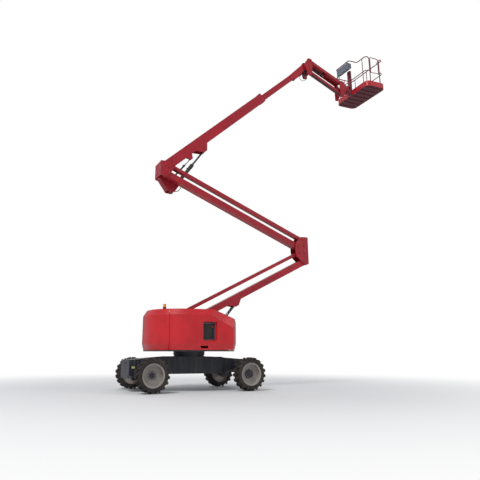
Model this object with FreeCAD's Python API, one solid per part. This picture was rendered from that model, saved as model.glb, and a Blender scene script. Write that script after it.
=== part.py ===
import FreeCAD, Part

import math
import os

# Articulating boom lift at real size, in millimetres.
# +X points from the slewing axis to the platform, +Y away from the near side, +Z up.
# The origin is on the ground under the slewing axis.

V = FreeCAD.Vector

# Wheels
WHEELBASE = 2600.0
TRACK = 2060.0
TYRE_D = 830.0
TYRE_W = 310.0
TYRE_BEAD_R = 285.0
TYRE_SHOULDER = 62.0
LUG_H = 36.0
LUG_COUNT = 18
LUG_SWEEP = 44.0
LUG_W = (40.0, 58.0)
LUG_CHAMFER = (26.0, 40.0)
RIM_OUT = 125.0
RIM_LIP = 39.0
RIM_WALL = 14.0
FIT_GAP = 0.3
DISC_OUT = -25.0
DISC_T = 16.0
HUB_R = 110.0
HUB_IN = 75.0
BORE_OUT = -10.0
STEER_CAP = (68.0, 5.0)
FIXED_CAP = (96.0, 37.0)
SPINDLE_R = 90.0
SPINDLE_NOSE_R = 30.0

# Chassis
FRAME_HALF_W = 430.0
FRAME_BOTTOM = 420.0
FRAME_TOP = 850.0
FRAME_END_TOP = 772.0
END_PLATE_T = 20.0
TIE_DOWN_R = 25.0
TIE_DOWN_Y = 370.0
LAMP_X = -1630.0
LAMP_Z = 591.0
AXLE_W = 180.0
AXLE_BOTTOM = 430.0
AXLE_TOP = 640.0
KINGPIN_Y = 745.0
KINGPIN_R = 32.0
KNUCKLE_R = 58.0
KNUCKLE_HALF_H = 140.0
EAR_T = 30.0
STEER_ARM = 190.0
TIE_ROD_R = 18.0
TIE_ROD_DROP = 63.0

# Turntable and covers
FRAME_PLATE_R = 430.0
FRAME_PLATE_TOP = 856.0
RING_R = 400.0
RING_H = 24.0
FLANGE_R = 420.0
SWIVEL_GAP = 0.5
DECK_BOTTOM = 975.0
DECK_T = 30.0
HOOD_BACK = -1250.0
HOOD_BACK_R = 1000.0
HOOD_FRONT = 1080.0
HOOD_FRONT_HALF_W = 700.0
HOOD_FRONT_R = 240.0
HOOD_SIDE_X = 840.0
HOOD_SIDE_R = 60.0
HOOD_HALF_W = 1100.0
HOOD_TOP = 2030.0
HOOD_CREASE_TOP = 1880.0
HOOD_CREASE_LOW = 1164.0
HOOD_TOP_INSET = 95.0
HOOD_LOW_INSET = 40.0
HOOD_WALL = 8.0
HOOD_SEAM_X = -860.0
STOW_X = -1010.0
STOW_HALF_W = 345.0
SEAM = 8.0
DOOR_GAP = 5.0
CHANNEL_HALF_W = 412.0
CHANNEL_WALL = 8.0
RECESS_X = (-18.0, 362.0)
RECESS_Z = (1235.0, 1708.0)
RECESS_DEPTH = 45.0
WINDOW_X = (0.0, 310.0)
WINDOW_Z = (1262.0, 1685.0)
GRIP_X = (-82.0, 130.0)
GRIP_Z = (1053.0, 1111.0)
HINGE_Y = 455.0
HINGE_Z = 1950.0
HINGE_PIN_R = 9.0
BEACON_AT = (-912.0, -600.0)

# Riser: two arms and two links between three frames, on the near side
RISER_Y = -140.0
LOWER_LEN = 4540.0
UPPER_LEN = 4617.0
LOWER_DEG = 27.0
UPPER_DEG = 23.0
ARM_W = 240.0
LOWER_DEPTH = 180.0
UPPER_DEPTH = 165.0
LINK_W = 150.0
LOWER_LINK_DEPTH = 90.0
UPPER_LINK_DEPTH = 100.0
RISER_PIN_R = 30.0
PLATE_T = 20.0
PLATE_GAP = 15.0
HUB_GAP = 3.0
A0 = (-485.0, 1526.5)
LOWER_LINK_OFF = (-135.0, 280.0)
ELBOW_OFF = (-180.0, 479.5)
UPPER_LINK_OFF = (175.0, 229.0)
BOOM_PIVOT_OFF = (55.0, 194.0)
RISER_ROD_AT = (1924.0, -157.0)
RISER_BASE = (350.0, 1120.0)

# Main boom and the section that slides in it, on the far side
BOOM_Y = 150.0
BOOM_DEG = 41.7
BOOM_W = 220.0
BOOM_DEPTH = 290.0
BOOM_UNDER = 62.0
BOOM_WALL = 8.0
BOOM_BACK = -110.0
BOOM_HEEL_R = (70.0, 130.0)
BOOM_END = 4420.0
FLY_W = 170.0
FLY_DEPTH = 185.0
FLY_UNDER = 29.5
FLY_WALL = 7.0
FLY_START = 2500.0
FLY_END = 5950.0
BOOM_PIN_R = 35.0
FAR_PLATE_T = 15.0
LIFT_Y = 160.0
LIFT_ROD_AT = (1440.0, -207.0)
LIFT_BASE = (-600.0, 5475.0)
LEVEL_Y = 72.0
LEVEL_ROD_AT = (900.0, -165.0)
LEVEL_BASE = (-560.0, 5880.0)

# Jib
JIB_DEG = -24.7
JIB_LEN = 1420.0
JIB_W = 300.0
JIB_DEPTH = 107.0
JIB_WALL = 12.0
JIB_LOWER_W = 160.0
JIB_LOWER_DEPTH = 70.0
JIB_PIN_R = 22.0
JIB_PLATE_T = 20.0
JIB_PLATE_GAP = 10.0
JIB_TIP_AT = (6758.0, 106.0)
JIB_A_OFF = (150.0, 218.0)
JIB_B_OFF = (150.0, -135.0)
JIB_C_OFF = (150.0, -304.0)
JIB_CYL_OFF = (195.0, 83.0)
JIB_ROD_AT = (760.0, -70.0)
JIB_DOWN_DEG = 42.0
LEVEL_BAR_Y = 28.0
LEVEL_BAR_R = 27.0
SLAVE_BASE_AT = (6060.0, -30.0)
SLAVE_ROD_OFF = (-30.0, -240.0)

# Platform
PLATFORM_X = 6550.0
PLATFORM_Z = 9982.0
PLATFORM_L = 1830.0
PLATFORM_W = 800.0
PLATFORM_R = 170.0
FLOOR_T = 40.0
TOE_H = 150.0
TOE_T = 12.0
RAIL_H = 1100.0
MID_RAIL_H = 570.0
RAIL_R = 17.0
RAIL_INSET = 32.0
RAIL_BEND = 80.0
BULGE_OUT = 360.0
BULGE_HALF = 400.0
ROTATOR_X = 5960.0
ROTATOR_R = 85.0
ROTATOR_H = 220.0
GATE_W = 420.0
GATE_GAP = 5.0


# Small helpers: points are (x, z) pairs in the side view


def polar(p, deg, s, n=0.0):
    a = math.radians(deg)
    return (p[0] + s * math.cos(a) - n * math.sin(a), p[1] + s * math.sin(a) + n * math.cos(a))


def shift(p, off):
    return (p[0] + off[0], p[1] + off[1])


def outline(points, at):
    # points are (a, b) or (a, b, corner radius); at maps (a, b) to a vector
    count = len(points)
    corners = []
    for i in range(count):
        here = V(points[i][0], points[i][1], 0)
        radius = points[i][2] if len(points[i]) > 2 else 0.0
        back = V(points[i - 1][0], points[i - 1][1], 0) - here
        ahead = V(points[(i + 1) % count][0], points[(i + 1) % count][1], 0) - here
        back.normalize()
        ahead.normalize()
        if radius == 0.0:
            corners.append((here, here, None))
            continue
        half = back.getAngle(ahead) / 2
        reach = radius / math.tan(half)
        middle = back + ahead
        middle.normalize()
        mid = here + middle * (radius / math.sin(half) - radius)
        corners.append((here + back * reach, here + ahead * reach, mid))
    edges = []
    for i in range(count):
        start, stop, mid = corners[i]
        if mid is not None:
            arc = Part.Arc(at(start.x, start.y), at(mid.x, mid.y), at(stop.x, stop.y))
            edges.append(arc.toShape())
        following = corners[(i + 1) % count][0]
        if stop.distanceToPoint(following) > 1e-6:
            line = Part.LineSegment(at(stop.x, stop.y), at(following.x, following.y))
            edges.append(line.toShape())
    return Part.Face(Part.Wire(edges))


def side(points, y0, y1):
    return outline(points, lambda a, b: V(a, y0, b)).extrude(V(0, y1 - y0, 0))


def plan(points, z0, z1):
    return outline(points, lambda a, b: V(a, b, z0)).extrude(V(0, 0, z1 - z0))


def section(points, x0, x1):
    return outline(points, lambda a, b: V(x0, a, b)).extrude(V(x1 - x0, 0, 0))


def box(x0, x1, y0, y1, z0, z1):
    return Part.makeBox(x1 - x0, y1 - y0, z1 - z0, V(x0, y0, z0))


def cross(p, radius, y0, y1):
    # a round bar along Y
    return Part.makeCylinder(radius, y1 - y0, V(p[0], y0, p[1]), V(0, 1, 0))


def post(x, y, radius, z0, z1):
    return Part.makeCylinder(radius, z1 - z0, V(x, y, z0), V(0, 0, 1))


def rod(p, q, radius, y):
    a = V(p[0], y, p[1])
    b = V(q[0], y, q[1])
    return Part.makeCylinder(radius, a.distanceToPoint(b), a, b - a)


def beam(p, deg, s0, s1, n0, n1, y0, y1):
    return side([polar(p, deg, s, n) for s, n in ((s0, n0), (s1, n0), (s1, n1), (s0, n1))], y0, y1)


def along(p, deg, points, y0, y1):
    # an outline given in lengths along and across a member
    return side([polar(p, deg, *pt[:2]) + tuple(pt[2:]) for pt in points], y0, y1)


def from_pivot(p, points):
    return [(p[0] + pt[0], p[1] + pt[1]) + tuple(pt[2:]) for pt in points]


def fuse(solids):
    return solids[0].multiFuse(solids[1:]).removeSplitter()


def drill(shape, points, radius, reach=2000.0):
    for p in points:
        shape = shape.cut(cross(p, radius, -reach, reach))
    return shape


def pin(p, radius, y0, y1, head=8.0):
    # a pin whose head shows on the near side
    return [cross(p, radius, y0, y1), cross(p, radius * 1.5, y0 - head, y0)]


PARTS = {}


def add(node, shape):
    PARTS[node] = shape


# Pivots and planes that follow from the sizes above

A1 = polar(A0, LOWER_DEG, LOWER_LEN)
B0 = shift(A0, LOWER_LINK_OFF)
B1 = shift(A1, LOWER_LINK_OFF)
E3 = shift(A1, ELBOW_OFF)
E4 = shift(E3, UPPER_LINK_OFF)
K3 = polar(E3, 180.0 - UPPER_DEG, UPPER_LEN)
K4 = shift(K3, UPPER_LINK_OFF)
K5 = shift(K3, BOOM_PIVOT_OFF)
RISER_TOP = polar(A0, LOWER_DEG, *RISER_ROD_AT)
LIFT_TOP = polar(K5, BOOM_DEG, *LIFT_ROD_AT)
LEVEL_TOP = polar(K5, BOOM_DEG, *LEVEL_ROD_AT)
J0 = polar(K5, BOOM_DEG, *JIB_TIP_AT)
JA = shift(J0, JIB_A_OFF)
JB = shift(J0, JIB_B_OFF)
JC = shift(J0, JIB_C_OFF)
JCYL = shift(J0, JIB_CYL_OFF)
JIB_TOP = polar(JA, JIB_DEG, *JIB_ROD_AT)
SLAVE_BASE = polar(K5, BOOM_DEG, *SLAVE_BASE_AT)
SLAVE_TOP = shift(J0, SLAVE_ROD_OFF)
PA = polar(JA, JIB_DEG, JIB_LEN)
PB = polar(JB, JIB_DEG, JIB_LEN)
PC = polar(JC, JIB_DEG, JIB_LEN)
AXLE_Z = TYRE_D / 2
DECK_TOP = DECK_BOTTOM + DECK_T
ARM_NEAR = RISER_Y - ARM_W / 2
ARM_FAR = RISER_Y + ARM_W / 2
NEAR_PLATE = (ARM_NEAR - PLATE_GAP - PLATE_T, ARM_NEAR - PLATE_GAP)
MID_PLATE = (ARM_FAR + PLATE_GAP, ARM_FAR + PLATE_GAP + PLATE_T)
HUB_Y = (NEAR_PLATE[1] + HUB_GAP, MID_PLATE[0] - HUB_GAP)
BOOM_NEAR = BOOM_Y - BOOM_W / 2
BOOM_FAR = BOOM_Y + BOOM_W / 2
FUNNEL_PLATE = (MID_PLATE[1] + 10.0, MID_PLATE[1] + 10.0 + FAR_PLATE_T)
FAR_PLATE = (BOOM_FAR + 15.0, BOOM_FAR + 15.0 + FAR_PLATE_T)
JIB_Y = (BOOM_Y - JIB_W / 2, BOOM_Y + JIB_W / 2)
JIB_NEAR_PLATE = (JIB_Y[0] - JIB_PLATE_GAP - JIB_PLATE_T, JIB_Y[0] - JIB_PLATE_GAP)
JIB_FAR_PLATE = (JIB_Y[1] + JIB_PLATE_GAP, JIB_Y[1] + JIB_PLATE_GAP + JIB_PLATE_T)

WHEELS = (
    # name, x, side
    ("steer_near", -WHEELBASE / 2, -1.0),
    ("steer_far", -WHEELBASE / 2, 1.0),
    ("fixed_near", WHEELBASE / 2, -1.0),
    ("fixed_far", WHEELBASE / 2, 1.0),
)


# Wheels


def revolve_wheel(points):
    # points are (distance outward from the tyre's middle, radius), round an axle along Y
    face = outline(points, lambda a, b: V(0, -a, b))
    return face.revolve(V(0, 0, 0), V(0, 1, 0), 360)


def ring(radius, y):
    # a ring of flats round the axle, two for each lug of a side
    count = 2 * LUG_COUNT
    turns = [2 * math.pi * i / count for i in range(count)]
    corners = [V(radius * math.sin(t), y, radius * math.cos(t)) for t in turns]
    return Part.makePolygon(corners + corners[:1])


def ringed(stations):
    # a body of flats through stations of (distance from the tyre's middle, radius)
    steps = [Part.makeLoft([ring(r0, y0), ring(r1, y1)], True, True)
             for (y0, r0), (y1, r1) in zip(stations, stations[1:])]
    return fuse(steps)


def lug(hand):
    # one slanted block from the tyre's middle over its shoulder, at the top of the wheel
    half = TYRE_W / 2
    outer = TYRE_D / 2
    reach = (LUG_SWEEP + LUG_W[1]) / 2
    top = math.sqrt(outer ** 2 - reach ** 2)
    foot = outer - TYRE_SHOULDER - 10
    bar = plan([
        (-LUG_SWEEP / 2 - LUG_W[0] / 2, hand * -10), (-LUG_SWEEP / 2 + LUG_W[0] / 2, hand * -10),
        (reach, hand * half), (reach - LUG_W[1], hand * half),
    ], foot, top + 10)
    shape = section([
        (hand * -10, foot), (hand * half, foot), (hand * half, top - LUG_CHAMFER[1]),
        (hand * (half - LUG_CHAMFER[0]), top), (hand * -10, top),
    ], -200, 200)
    return bar.common(shape)


def tyre():
    # lugs on a carcass, in turn on the two sides
    half = TYRE_W / 2
    tread = TYRE_D / 2 - LUG_H
    low = TYRE_D / 2 - TYRE_SHOULDER
    carcass = ringed([
        (-half + 30, TYRE_BEAD_R + 12), (-half, TYRE_BEAD_R + 45), (-half + 2, low), (-half + 40, tread),
        (half - 40, tread), (half - 2, low), (half, TYRE_BEAD_R + 45), (half - 30, TYRE_BEAD_R + 12),
    ])
    bore = TYRE_BEAD_R / math.cos(math.pi / (2 * LUG_COUNT))
    solids = [carcass.cut(ringed([(-half, bore), (half, bore)]))]
    for hand in (-1, 1):
        block = lug(hand)
        for i in range(LUG_COUNT):
            turned = block.copy()
            turned.rotate(V(0, 0, 0), V(0, 1, 0), 360 * (i + hand / 4) / LUG_COUNT)
            solids.append(turned)
    return fuse(solids)


def rim(cap):
    # a deep well behind a flat lip, with its disc far in and the hub's cap standing out of it
    seat = TYRE_BEAD_R - FIT_GAP
    well = seat - RIM_WALL
    bore = SPINDLE_NOSE_R + FIT_GAP
    cap_r, cap_out = cap
    return revolve_wheel([
        (-RIM_OUT, seat), (RIM_OUT, seat), (RIM_OUT, seat - RIM_LIP), (RIM_OUT - RIM_WALL, seat - RIM_LIP),
        (RIM_OUT - RIM_WALL, well), (DISC_OUT, well), (DISC_OUT, cap_r), (cap_out, cap_r), (cap_out, 0),
        (BORE_OUT, 0), (BORE_OUT, bore), (-HUB_IN, bore), (-HUB_IN, HUB_R), (DISC_OUT - DISC_T, HUB_R),
        (DISC_OUT - DISC_T, well), (-RIM_OUT, well),
    ])


def build_wheels():
    # the near wheels are made about their own middle, and the far ones mirrored
    rubber = tyre()
    rims = {"steer": rim(STEER_CAP), "fixed": rim(FIXED_CAP)}
    for name, x, sign in WHEELS:
        for kind, shape in (("tyre_", rubber), ("rim_", rims[name.split("_")[0]])):
            placed = shape if sign < 0 else shape.mirror(V(0, 0, 0), V(0, 1, 0))
            add(kind + name, placed.translated(V(x, sign * TRACK / 2, AXLE_Z)))


# Chassis


def spindle(x, y, sign):
    stop = sign * (TRACK / 2 - HUB_IN - 5)
    nose = sign * (TRACK / 2 + BORE_OUT - FIT_GAP)
    shaft = Part.makeCylinder(SPINDLE_R, abs(stop - y), V(x, y, AXLE_Z), V(0, sign, 0))
    tip = Part.makeCylinder(SPINDLE_NOSE_R, abs(nose - stop), V(x, stop, AXLE_Z), V(0, sign, 0))
    return [shaft, tip]


CHASSIS_ENDS = (
    # name, x of the end plate's inner face, outward direction, lower edge of the plate, height of its lashing holes
    ("steer", -1710.0, -1.0, 325.0, 366.0),
    ("fixed", 1440.0, 1.0, 440.0, 481.0),
)


def chassis_frame():
    # a flat box girder whose top slopes down to both ends, with a plate across each end
    (_, steer_x, *_), (_, fixed_x, *_) = CHASSIS_ENDS
    frame = side([
        (steer_x, 400), (-645, FRAME_BOTTOM, 80), (800, FRAME_BOTTOM, 80), (1050, 520, 80), (fixed_x, 520),
        (fixed_x, FRAME_END_TOP), (500, FRAME_TOP - 4, 200), (-590, FRAME_TOP, 200), (steer_x, FRAME_END_TOP),
    ], -FRAME_HALF_W, FRAME_HALF_W)
    solids = [frame, post(0, 0, FRAME_PLATE_R, FRAME_TOP - 40, FRAME_PLATE_TOP)]
    for _, x, way, low, _ in CHASSIS_ENDS:
        plate = [
            (-FRAME_HALF_W, low, 30), (FRAME_HALF_W, low, 30), (FRAME_HALF_W, FRAME_END_TOP + 8, 50),
            (-FRAME_HALF_W, FRAME_END_TOP + 8, 50),
        ]
        x0, x1 = sorted((x, x + way * END_PLATE_T))
        solids.append(section(plate, x0, x1))
    out = fuse(solids)
    for _, x, way, low, hole_z in CHASSIS_ENDS:
        for y in (-TIE_DOWN_Y, TIE_DOWN_Y):
            out = out.cut(Part.makeCylinder(TIE_DOWN_R, 80, V(x - 40, y, hole_z), V(1, 0, 0)))
    for x in (-WHEELBASE / 2, WHEELBASE / 2):
        out = out.cut(box(x - AXLE_W / 2, x + AXLE_W / 2, -600, 600, AXLE_BOTTOM, AXLE_TOP))
    return out


def fixed_axle():
    x = WHEELBASE / 2
    solids = [box(x - AXLE_W / 2, x + AXLE_W / 2, -640, 640, AXLE_BOTTOM, AXLE_TOP)]
    for sign in (-1, 1):
        solids.append(Part.makeCylinder(140, 95, V(x, sign * 635, AXLE_Z), V(0, sign, 0)))
        solids += spindle(x, sign * 730, sign)
    return fuse(solids)


def steer_axle():
    x = -WHEELBASE / 2
    root = KINGPIN_Y - 180
    solids = [box(x - AXLE_W / 2, x + AXLE_W / 2, -root, root, AXLE_BOTTOM, AXLE_TOP)]
    low = AXLE_Z - KNUCKLE_HALF_H - EAR_T - 5
    high = AXLE_Z + KNUCKLE_HALF_H + 5
    for sign in (-1, 1):
        y0, y1 = sorted((sign * (root - 10), sign * (root + 60)))
        solids.append(box(x - 70, x + 70, y0, y1, low, high + EAR_T))
        for z0 in (low, high):
            ear = [
                (x - 70, sign * root), (x + 70, sign * root), (x + 70, sign * (KINGPIN_Y + 65), 60),
                (x - 70, sign * (KINGPIN_Y + 65), 60),
            ]
            solids.append(plan(ear, z0, z0 + EAR_T))
    out = fuse(solids)
    for sign in (-1, 1):
        out = out.cut(post(x, sign * KINGPIN_Y, KINGPIN_R + FIT_GAP, low - 50, high + 50))
    return out


def steer_knuckle(sign):
    x = -WHEELBASE / 2
    y = sign * KINGPIN_Y
    arm_x = x + STEER_ARM
    arm_z = AXLE_Z - TIE_ROD_DROP + 32
    solids = [
        post(x, y, KNUCKLE_R, AXLE_Z - KNUCKLE_HALF_H, AXLE_Z + KNUCKLE_HALF_H),
        post(x, y, KINGPIN_R, AXLE_Z - KNUCKLE_HALF_H - EAR_T - 12, AXLE_Z + KNUCKLE_HALF_H + EAR_T + 12),
        plan([(x, y - 40), (arm_x + 32, y - 32, 31), (arm_x + 32, y + 32, 31), (x, y + 40)], arm_z, arm_z + 22),
        post(arm_x, y, 12, arm_z - 54, arm_z),
    ]
    return fuse(solids + spindle(x, y, sign))


def tie_rod():
    x = -WHEELBASE / 2 + STEER_ARM
    z = AXLE_Z - TIE_ROD_DROP
    solids = [Part.makeCylinder(TIE_ROD_R, 2 * KINGPIN_Y, V(x, -KINGPIN_Y, z), V(0, 1, 0))]
    for sign in (-1, 1):
        solids.append(post(x, sign * KINGPIN_Y, 28, z - 20, z + 26))
    out = fuse(solids)
    for sign in (-1, 1):
        out = out.cut(post(x, sign * KINGPIN_Y, 12 + FIT_GAP, z - 60, z + 60))
    return out


def chassis_lamp(sign):
    # a marker lamp on the frame's side wall, rounded at its ends
    y0, y1 = sorted((sign * FRAME_HALF_W, sign * (FRAME_HALF_W + 28)))
    return side([
        (LAMP_X - 45, LAMP_Z - 26, 24), (LAMP_X + 45, LAMP_Z - 26, 24), (LAMP_X + 45, LAMP_Z + 26, 24),
        (LAMP_X - 45, LAMP_Z + 26, 24),
    ], y0, y1)


def slew_ring():
    z = FRAME_PLATE_TOP
    return post(0, 0, RING_R, z, z + RING_H).cut(post(0, 0, RING_R - 160, z - 10, z + RING_H + 10))


def build_chassis():
    add("chassis_frame", chassis_frame())
    add("fixed_axle", fixed_axle())
    add("steer_axle", steer_axle())
    add("steer_knuckle_near", steer_knuckle(-1))
    add("steer_knuckle_far", steer_knuckle(1))
    add("tie_rod", tie_rod())
    add("chassis_lamp_near", chassis_lamp(-1))
    add("chassis_lamp_far", chassis_lamp(1))
    add("slew_ring", slew_ring())


# Turntable with the tower that carries the riser, and the covers round it

TOWER = [
    # x and z from the lower arm's pivot, corner radius
    (-340, DECK_TOP - A0[1]), (300, DECK_TOP - A0[1]), (85, -46, 60), (-60, 324, 50), (-205, 334, 50), (-340, -30, 60),
]
HINGES_X = (-560.0, 150.0)


def turntable_frame():
    low_z = FRAME_PLATE_TOP + RING_H + SWIVEL_GAP
    deck = Part.Face(hood_plan(HOOD_LOW_INSET + 2, DECK_BOTTOM)).extrude(V(0, 0, DECK_T))
    solids = [deck, post(0, 0, FLANGE_R, low_z, DECK_BOTTOM + 5)]
    tower = from_pivot(A0, TOWER)
    for y0, y1 in (NEAR_PLATE, MID_PLATE):
        solids.append(side(tower, y0, y1))
    solids.append(box(A0[0] - 335, A0[0] - 315, NEAR_PLATE[0], MID_PLATE[1], DECK_TOP - 5, A0[1] - 60))
    for p in (A0, B0):
        solids += pin(p, RISER_PIN_R, *NEAR_PLATE[:1], MID_PLATE[1])
    wall = [
        (HOOD_SEAM_X + 20, DECK_TOP - 5), (HOOD_FRONT - 110, DECK_TOP - 5), (HOOD_FRONT - 110, 1300, 60),
        (820, 1740, 160), (520, 1895, 60), (HOOD_SEAM_X + 20, 1905),
    ]
    for sign in (-1, 1):
        y0, y1 = sorted((sign * (CHANNEL_HALF_W - CHANNEL_WALL), sign * CHANNEL_HALF_W))
        solids.append(side(wall, y0, y1))
        for x in HINGES_X:
            inner = sign * (CHANNEL_HALF_W - CHANNEL_WALL)
            outer = sign * (HINGE_Y + 18)
            tab = [(inner, 1860), (outer, HINGE_Z - 20), (outer, HINGE_Z + 18), (inner, HINGE_Z + 18)]
            for xt in (x, x + 112):
                solids.append(section(tab, xt, xt + 8))
            solids.append(Part.makeCylinder(HINGE_PIN_R, 120, V(x, sign * HINGE_Y, HINGE_Z), V(1, 0, 0)))
    bx, bz = RISER_BASE
    lug = [(bx - 90, DECK_TOP - 5), (bx + 90, DECK_TOP - 5), (bx + 50, bz + 48, 40), (bx - 50, bz + 48, 40)]
    for y in (RISER_Y - 86, RISER_Y + 70):
        solids.append(side(lug, y, y + 16))
    solids.append(cross(RISER_BASE, 22, RISER_Y - 86, RISER_Y + 86))
    return fuse(solids)


HOOD_CORNERS = (
    # x, y, corner radius
    (HOOD_BACK, -HOOD_HALF_W, HOOD_BACK_R), (HOOD_SIDE_X, -HOOD_HALF_W, HOOD_SIDE_R),
    (HOOD_FRONT, -HOOD_FRONT_HALF_W, HOOD_FRONT_R), (HOOD_FRONT, HOOD_FRONT_HALF_W, HOOD_FRONT_R),
    (HOOD_SIDE_X, HOOD_HALF_W, HOOD_SIDE_R), (HOOD_BACK, HOOD_HALF_W, HOOD_BACK_R),
)
HOOD_NOSE = (
    # distance from the middle plane, then where the top starts to slope, its height there, the nose's x and its
    # height at the corner, corner radius
    (HOOD_HALF_W + 10, 180.0, 1872.0, 900.0, 1500.0, 150.0),
    (HOOD_HALF_W - HOOD_TOP_INSET, 300.0, 2036.0, 1080.0, 1730.0, 250.0),
)


def hood_plan(inset, z):
    # the covers' outline at one height, each side moved in by the inset
    moved = []
    for i, (x, y, radius) in enumerate(HOOD_CORNERS):
        here = V(x, y, 0)
        normals = []
        for a, b in ((HOOD_CORNERS[i - 1], here), (here, HOOD_CORNERS[(i + 1) % len(HOOD_CORNERS)])):
            run = V(b[0] - a[0], b[1] - a[1], 0)
            run.normalize()
            normals.append(V(-run.y, run.x, 0))
        shift_in = (normals[0] + normals[1]) * (inset / (1 + normals[0].dot(normals[1])))
        moved.append((here.x + shift_in.x, here.y + shift_in.y, radius - inset if radius > 2 * inset else radius))
    return outline(moved, lambda a, b: V(a, b, z)).OuterWire


def hood_side(y, slope_x, top, nose_x, nose_z, radius, wall):
    low = DECK_TOP - 10
    back = HOOD_BACK - 10
    points = [
        (back, low), (nose_x - wall, low), (nose_x - wall, nose_z - wall, radius), (slope_x, top - wall, 120),
        (back, top - wall),
    ]
    return outline(points, lambda a, b: V(a, y, b)).OuterWire


def hood_solid(wall):
    # the sides lean in under the low crease and over the top one, and the nose slopes down and rounds over
    rings = [
        hood_plan(HOOD_LOW_INSET + wall, DECK_TOP), hood_plan(wall, HOOD_CREASE_LOW),
        hood_plan(wall, HOOD_CREASE_TOP), hood_plan(HOOD_TOP_INSET + wall, HOOD_TOP - wall),
    ]
    body = Part.makeLoft(rings, True, True)
    outer, inner = HOOD_NOSE
    stations = [(-outer[0], outer), (-inner[0], inner), (inner[0], inner), (outer[0], outer)]
    nose = Part.makeLoft([hood_side(y, *row[1:], wall) for y, row in stations], True, True)
    return body.common(nose)


def hood_shell():
    return hood_solid(0.0).cut(hood_solid(HOOD_WALL))


def control_recess(grow, y0, y1):
    (x0, x1), (z0, z1) = RECESS_X, RECESS_Z
    r = 30 + grow
    return side([
        (x0 - grow, z0 - grow, r), (x1 + grow, z0 - grow, r), (x1 + grow, z1 + grow, r), (x0 - grow, z1 + grow, r),
    ], y0, y1)


def door_hinge(sign):
    # two knuckles that hang from the door's top and turn on the turntable's pins
    solids = []
    for x in HINGES_X:
        y = sign * HINGE_Y
        solids.append(box(x + 14, x + 106, y - 16, y + 16, HINGE_Z, HOOD_TOP - HOOD_WALL / 2))
        solids.append(Part.makeCylinder(16, 92, V(x + 14, sign * HINGE_Y, HINGE_Z), V(1, 0, 0)))
    return solids


def side_door(shell):
    # the near door, with the sunk window of the ground controls and a grip slot in its low band
    far = 3000.0
    wall_y = -HOOD_HALF_W + HOOD_WALL
    door = shell.common(box(HOOD_SEAM_X + SEAM, far, -far, -CHANNEL_HALF_W - DOOR_GAP, DECK_TOP + DOOR_GAP, far))
    tray = control_recess(6.0, wall_y - 4, wall_y + RECESS_DEPTH)
    door = fuse([door, tray] + door_hinge(-1))
    door = door.cut(control_recess(0.0, -far, wall_y + RECESS_DEPTH - 6))
    (x0, x1), (z0, z1) = WINDOW_X, WINDOW_Z
    door = door.cut(side([(x0, z0, 25), (x1, z0, 25), (x1, z1, 25), (x0, z1, 25)], -far, -HOOD_HALF_W + 200))
    (x0, x1), (z0, z1) = GRIP_X, GRIP_Z
    r = (z1 - z0) / 2 - 1
    door = door.cut(side([(x0, z0, r), (x1, z0, r), (x1, z1, r), (x0, z1, r)], -far, -HOOD_HALF_W + 200))
    for x in HINGES_X:
        door = door.cut(Part.makeCylinder(HINGE_PIN_R + FIT_GAP, 140, V(x - 10, -HINGE_Y, HINGE_Z), V(1, 0, 0)))
    return door


def build_covers():
    shell = hood_shell()
    far = 3000.0
    tail = shell.common(box(-far, HOOD_SEAM_X, -far, far, 0, far))
    # the gap between the doors runs on into the tail cover, so that the knuckle can settle there
    add("tail_cover", tail.cut(box(STOW_X, HOOD_SEAM_X + 10, -STOW_HALF_W, STOW_HALF_W, HOOD_CREASE_LOW, far)))
    door = side_door(shell)
    add("side_door_near", door)
    add("side_door_far", door.mirror(V(0, 0, 0), V(0, 1, 0)))


def build_turntable():
    add("turntable_frame", turntable_frame())
    build_covers()
    block = Part.Face(hood_plan(HOOD_LOW_INSET + 30, DECK_TOP)).extrude(V(0, 0, 590))
    add("counterweight", block.common(box(-3000, HOOD_SEAM_X, -3000, 3000, 0, 3000)))
    add("battery_block", box(-640, -40, -940, -480, DECK_TOP, 1560))
    add("power_unit_block", box(-700, 400, 480, 900, DECK_TOP, 1500))
    controls = box(-15, 340, -1010, -900, 1240, 1700)
    stand = box(120, 210, -905, -CHANNEL_HALF_W, 1400, 1480)
    add("ground_controls", fuse([controls, stand]))
    x, y = BEACON_AT
    base = post(x, y, 47, HOOD_TOP, HOOD_TOP + 45)
    add("beacon", fuse([base, post(x, y, 40, HOOD_TOP + 45, HOOD_TOP + 125)]))


# Riser


def member(p, deg, length, depth, width, hub_r):
    q = polar(p, deg, length)
    bar = beam(p, deg, 0, length, -depth / 2, depth / 2, RISER_Y - width / 2, RISER_Y + width / 2)
    out = fuse([bar, cross(p, hub_r, *HUB_Y), cross(q, hub_r, *HUB_Y)])
    return drill(out, (p, q), RISER_PIN_R + FIT_GAP)


def lower_arm():
    arm = member(A0, LOWER_DEG, LOWER_LEN, LOWER_DEPTH, ARM_W, LOWER_DEPTH / 2)
    s, n = RISER_ROD_AT
    under = -LOWER_DEPTH / 2
    lug = [(s - 230, under), (s - 60, n - 60, 30), (s + 50, n - 62, 40), (s + 190, under), (s, 0)]
    solids = [arm]
    for y0, y1 in ((ARM_NEAR, ARM_NEAR + 16), (ARM_FAR - 16, ARM_FAR)):
        solids.append(along(A0, LOWER_DEG, lug, y0, y1))
    out = fuse(solids)
    slot = beam(A0, LOWER_DEG, s - 520, s + 200, -400, -under - 16, ARM_NEAR + 16, ARM_FAR - 16)
    out = out.cut(slot)
    bosses = [cross(RISER_TOP, 40, ARM_NEAR - 10, ARM_NEAR), cross(RISER_TOP, 40, ARM_FAR, ARM_FAR + 10)]
    return fuse([out] + bosses)


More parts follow.
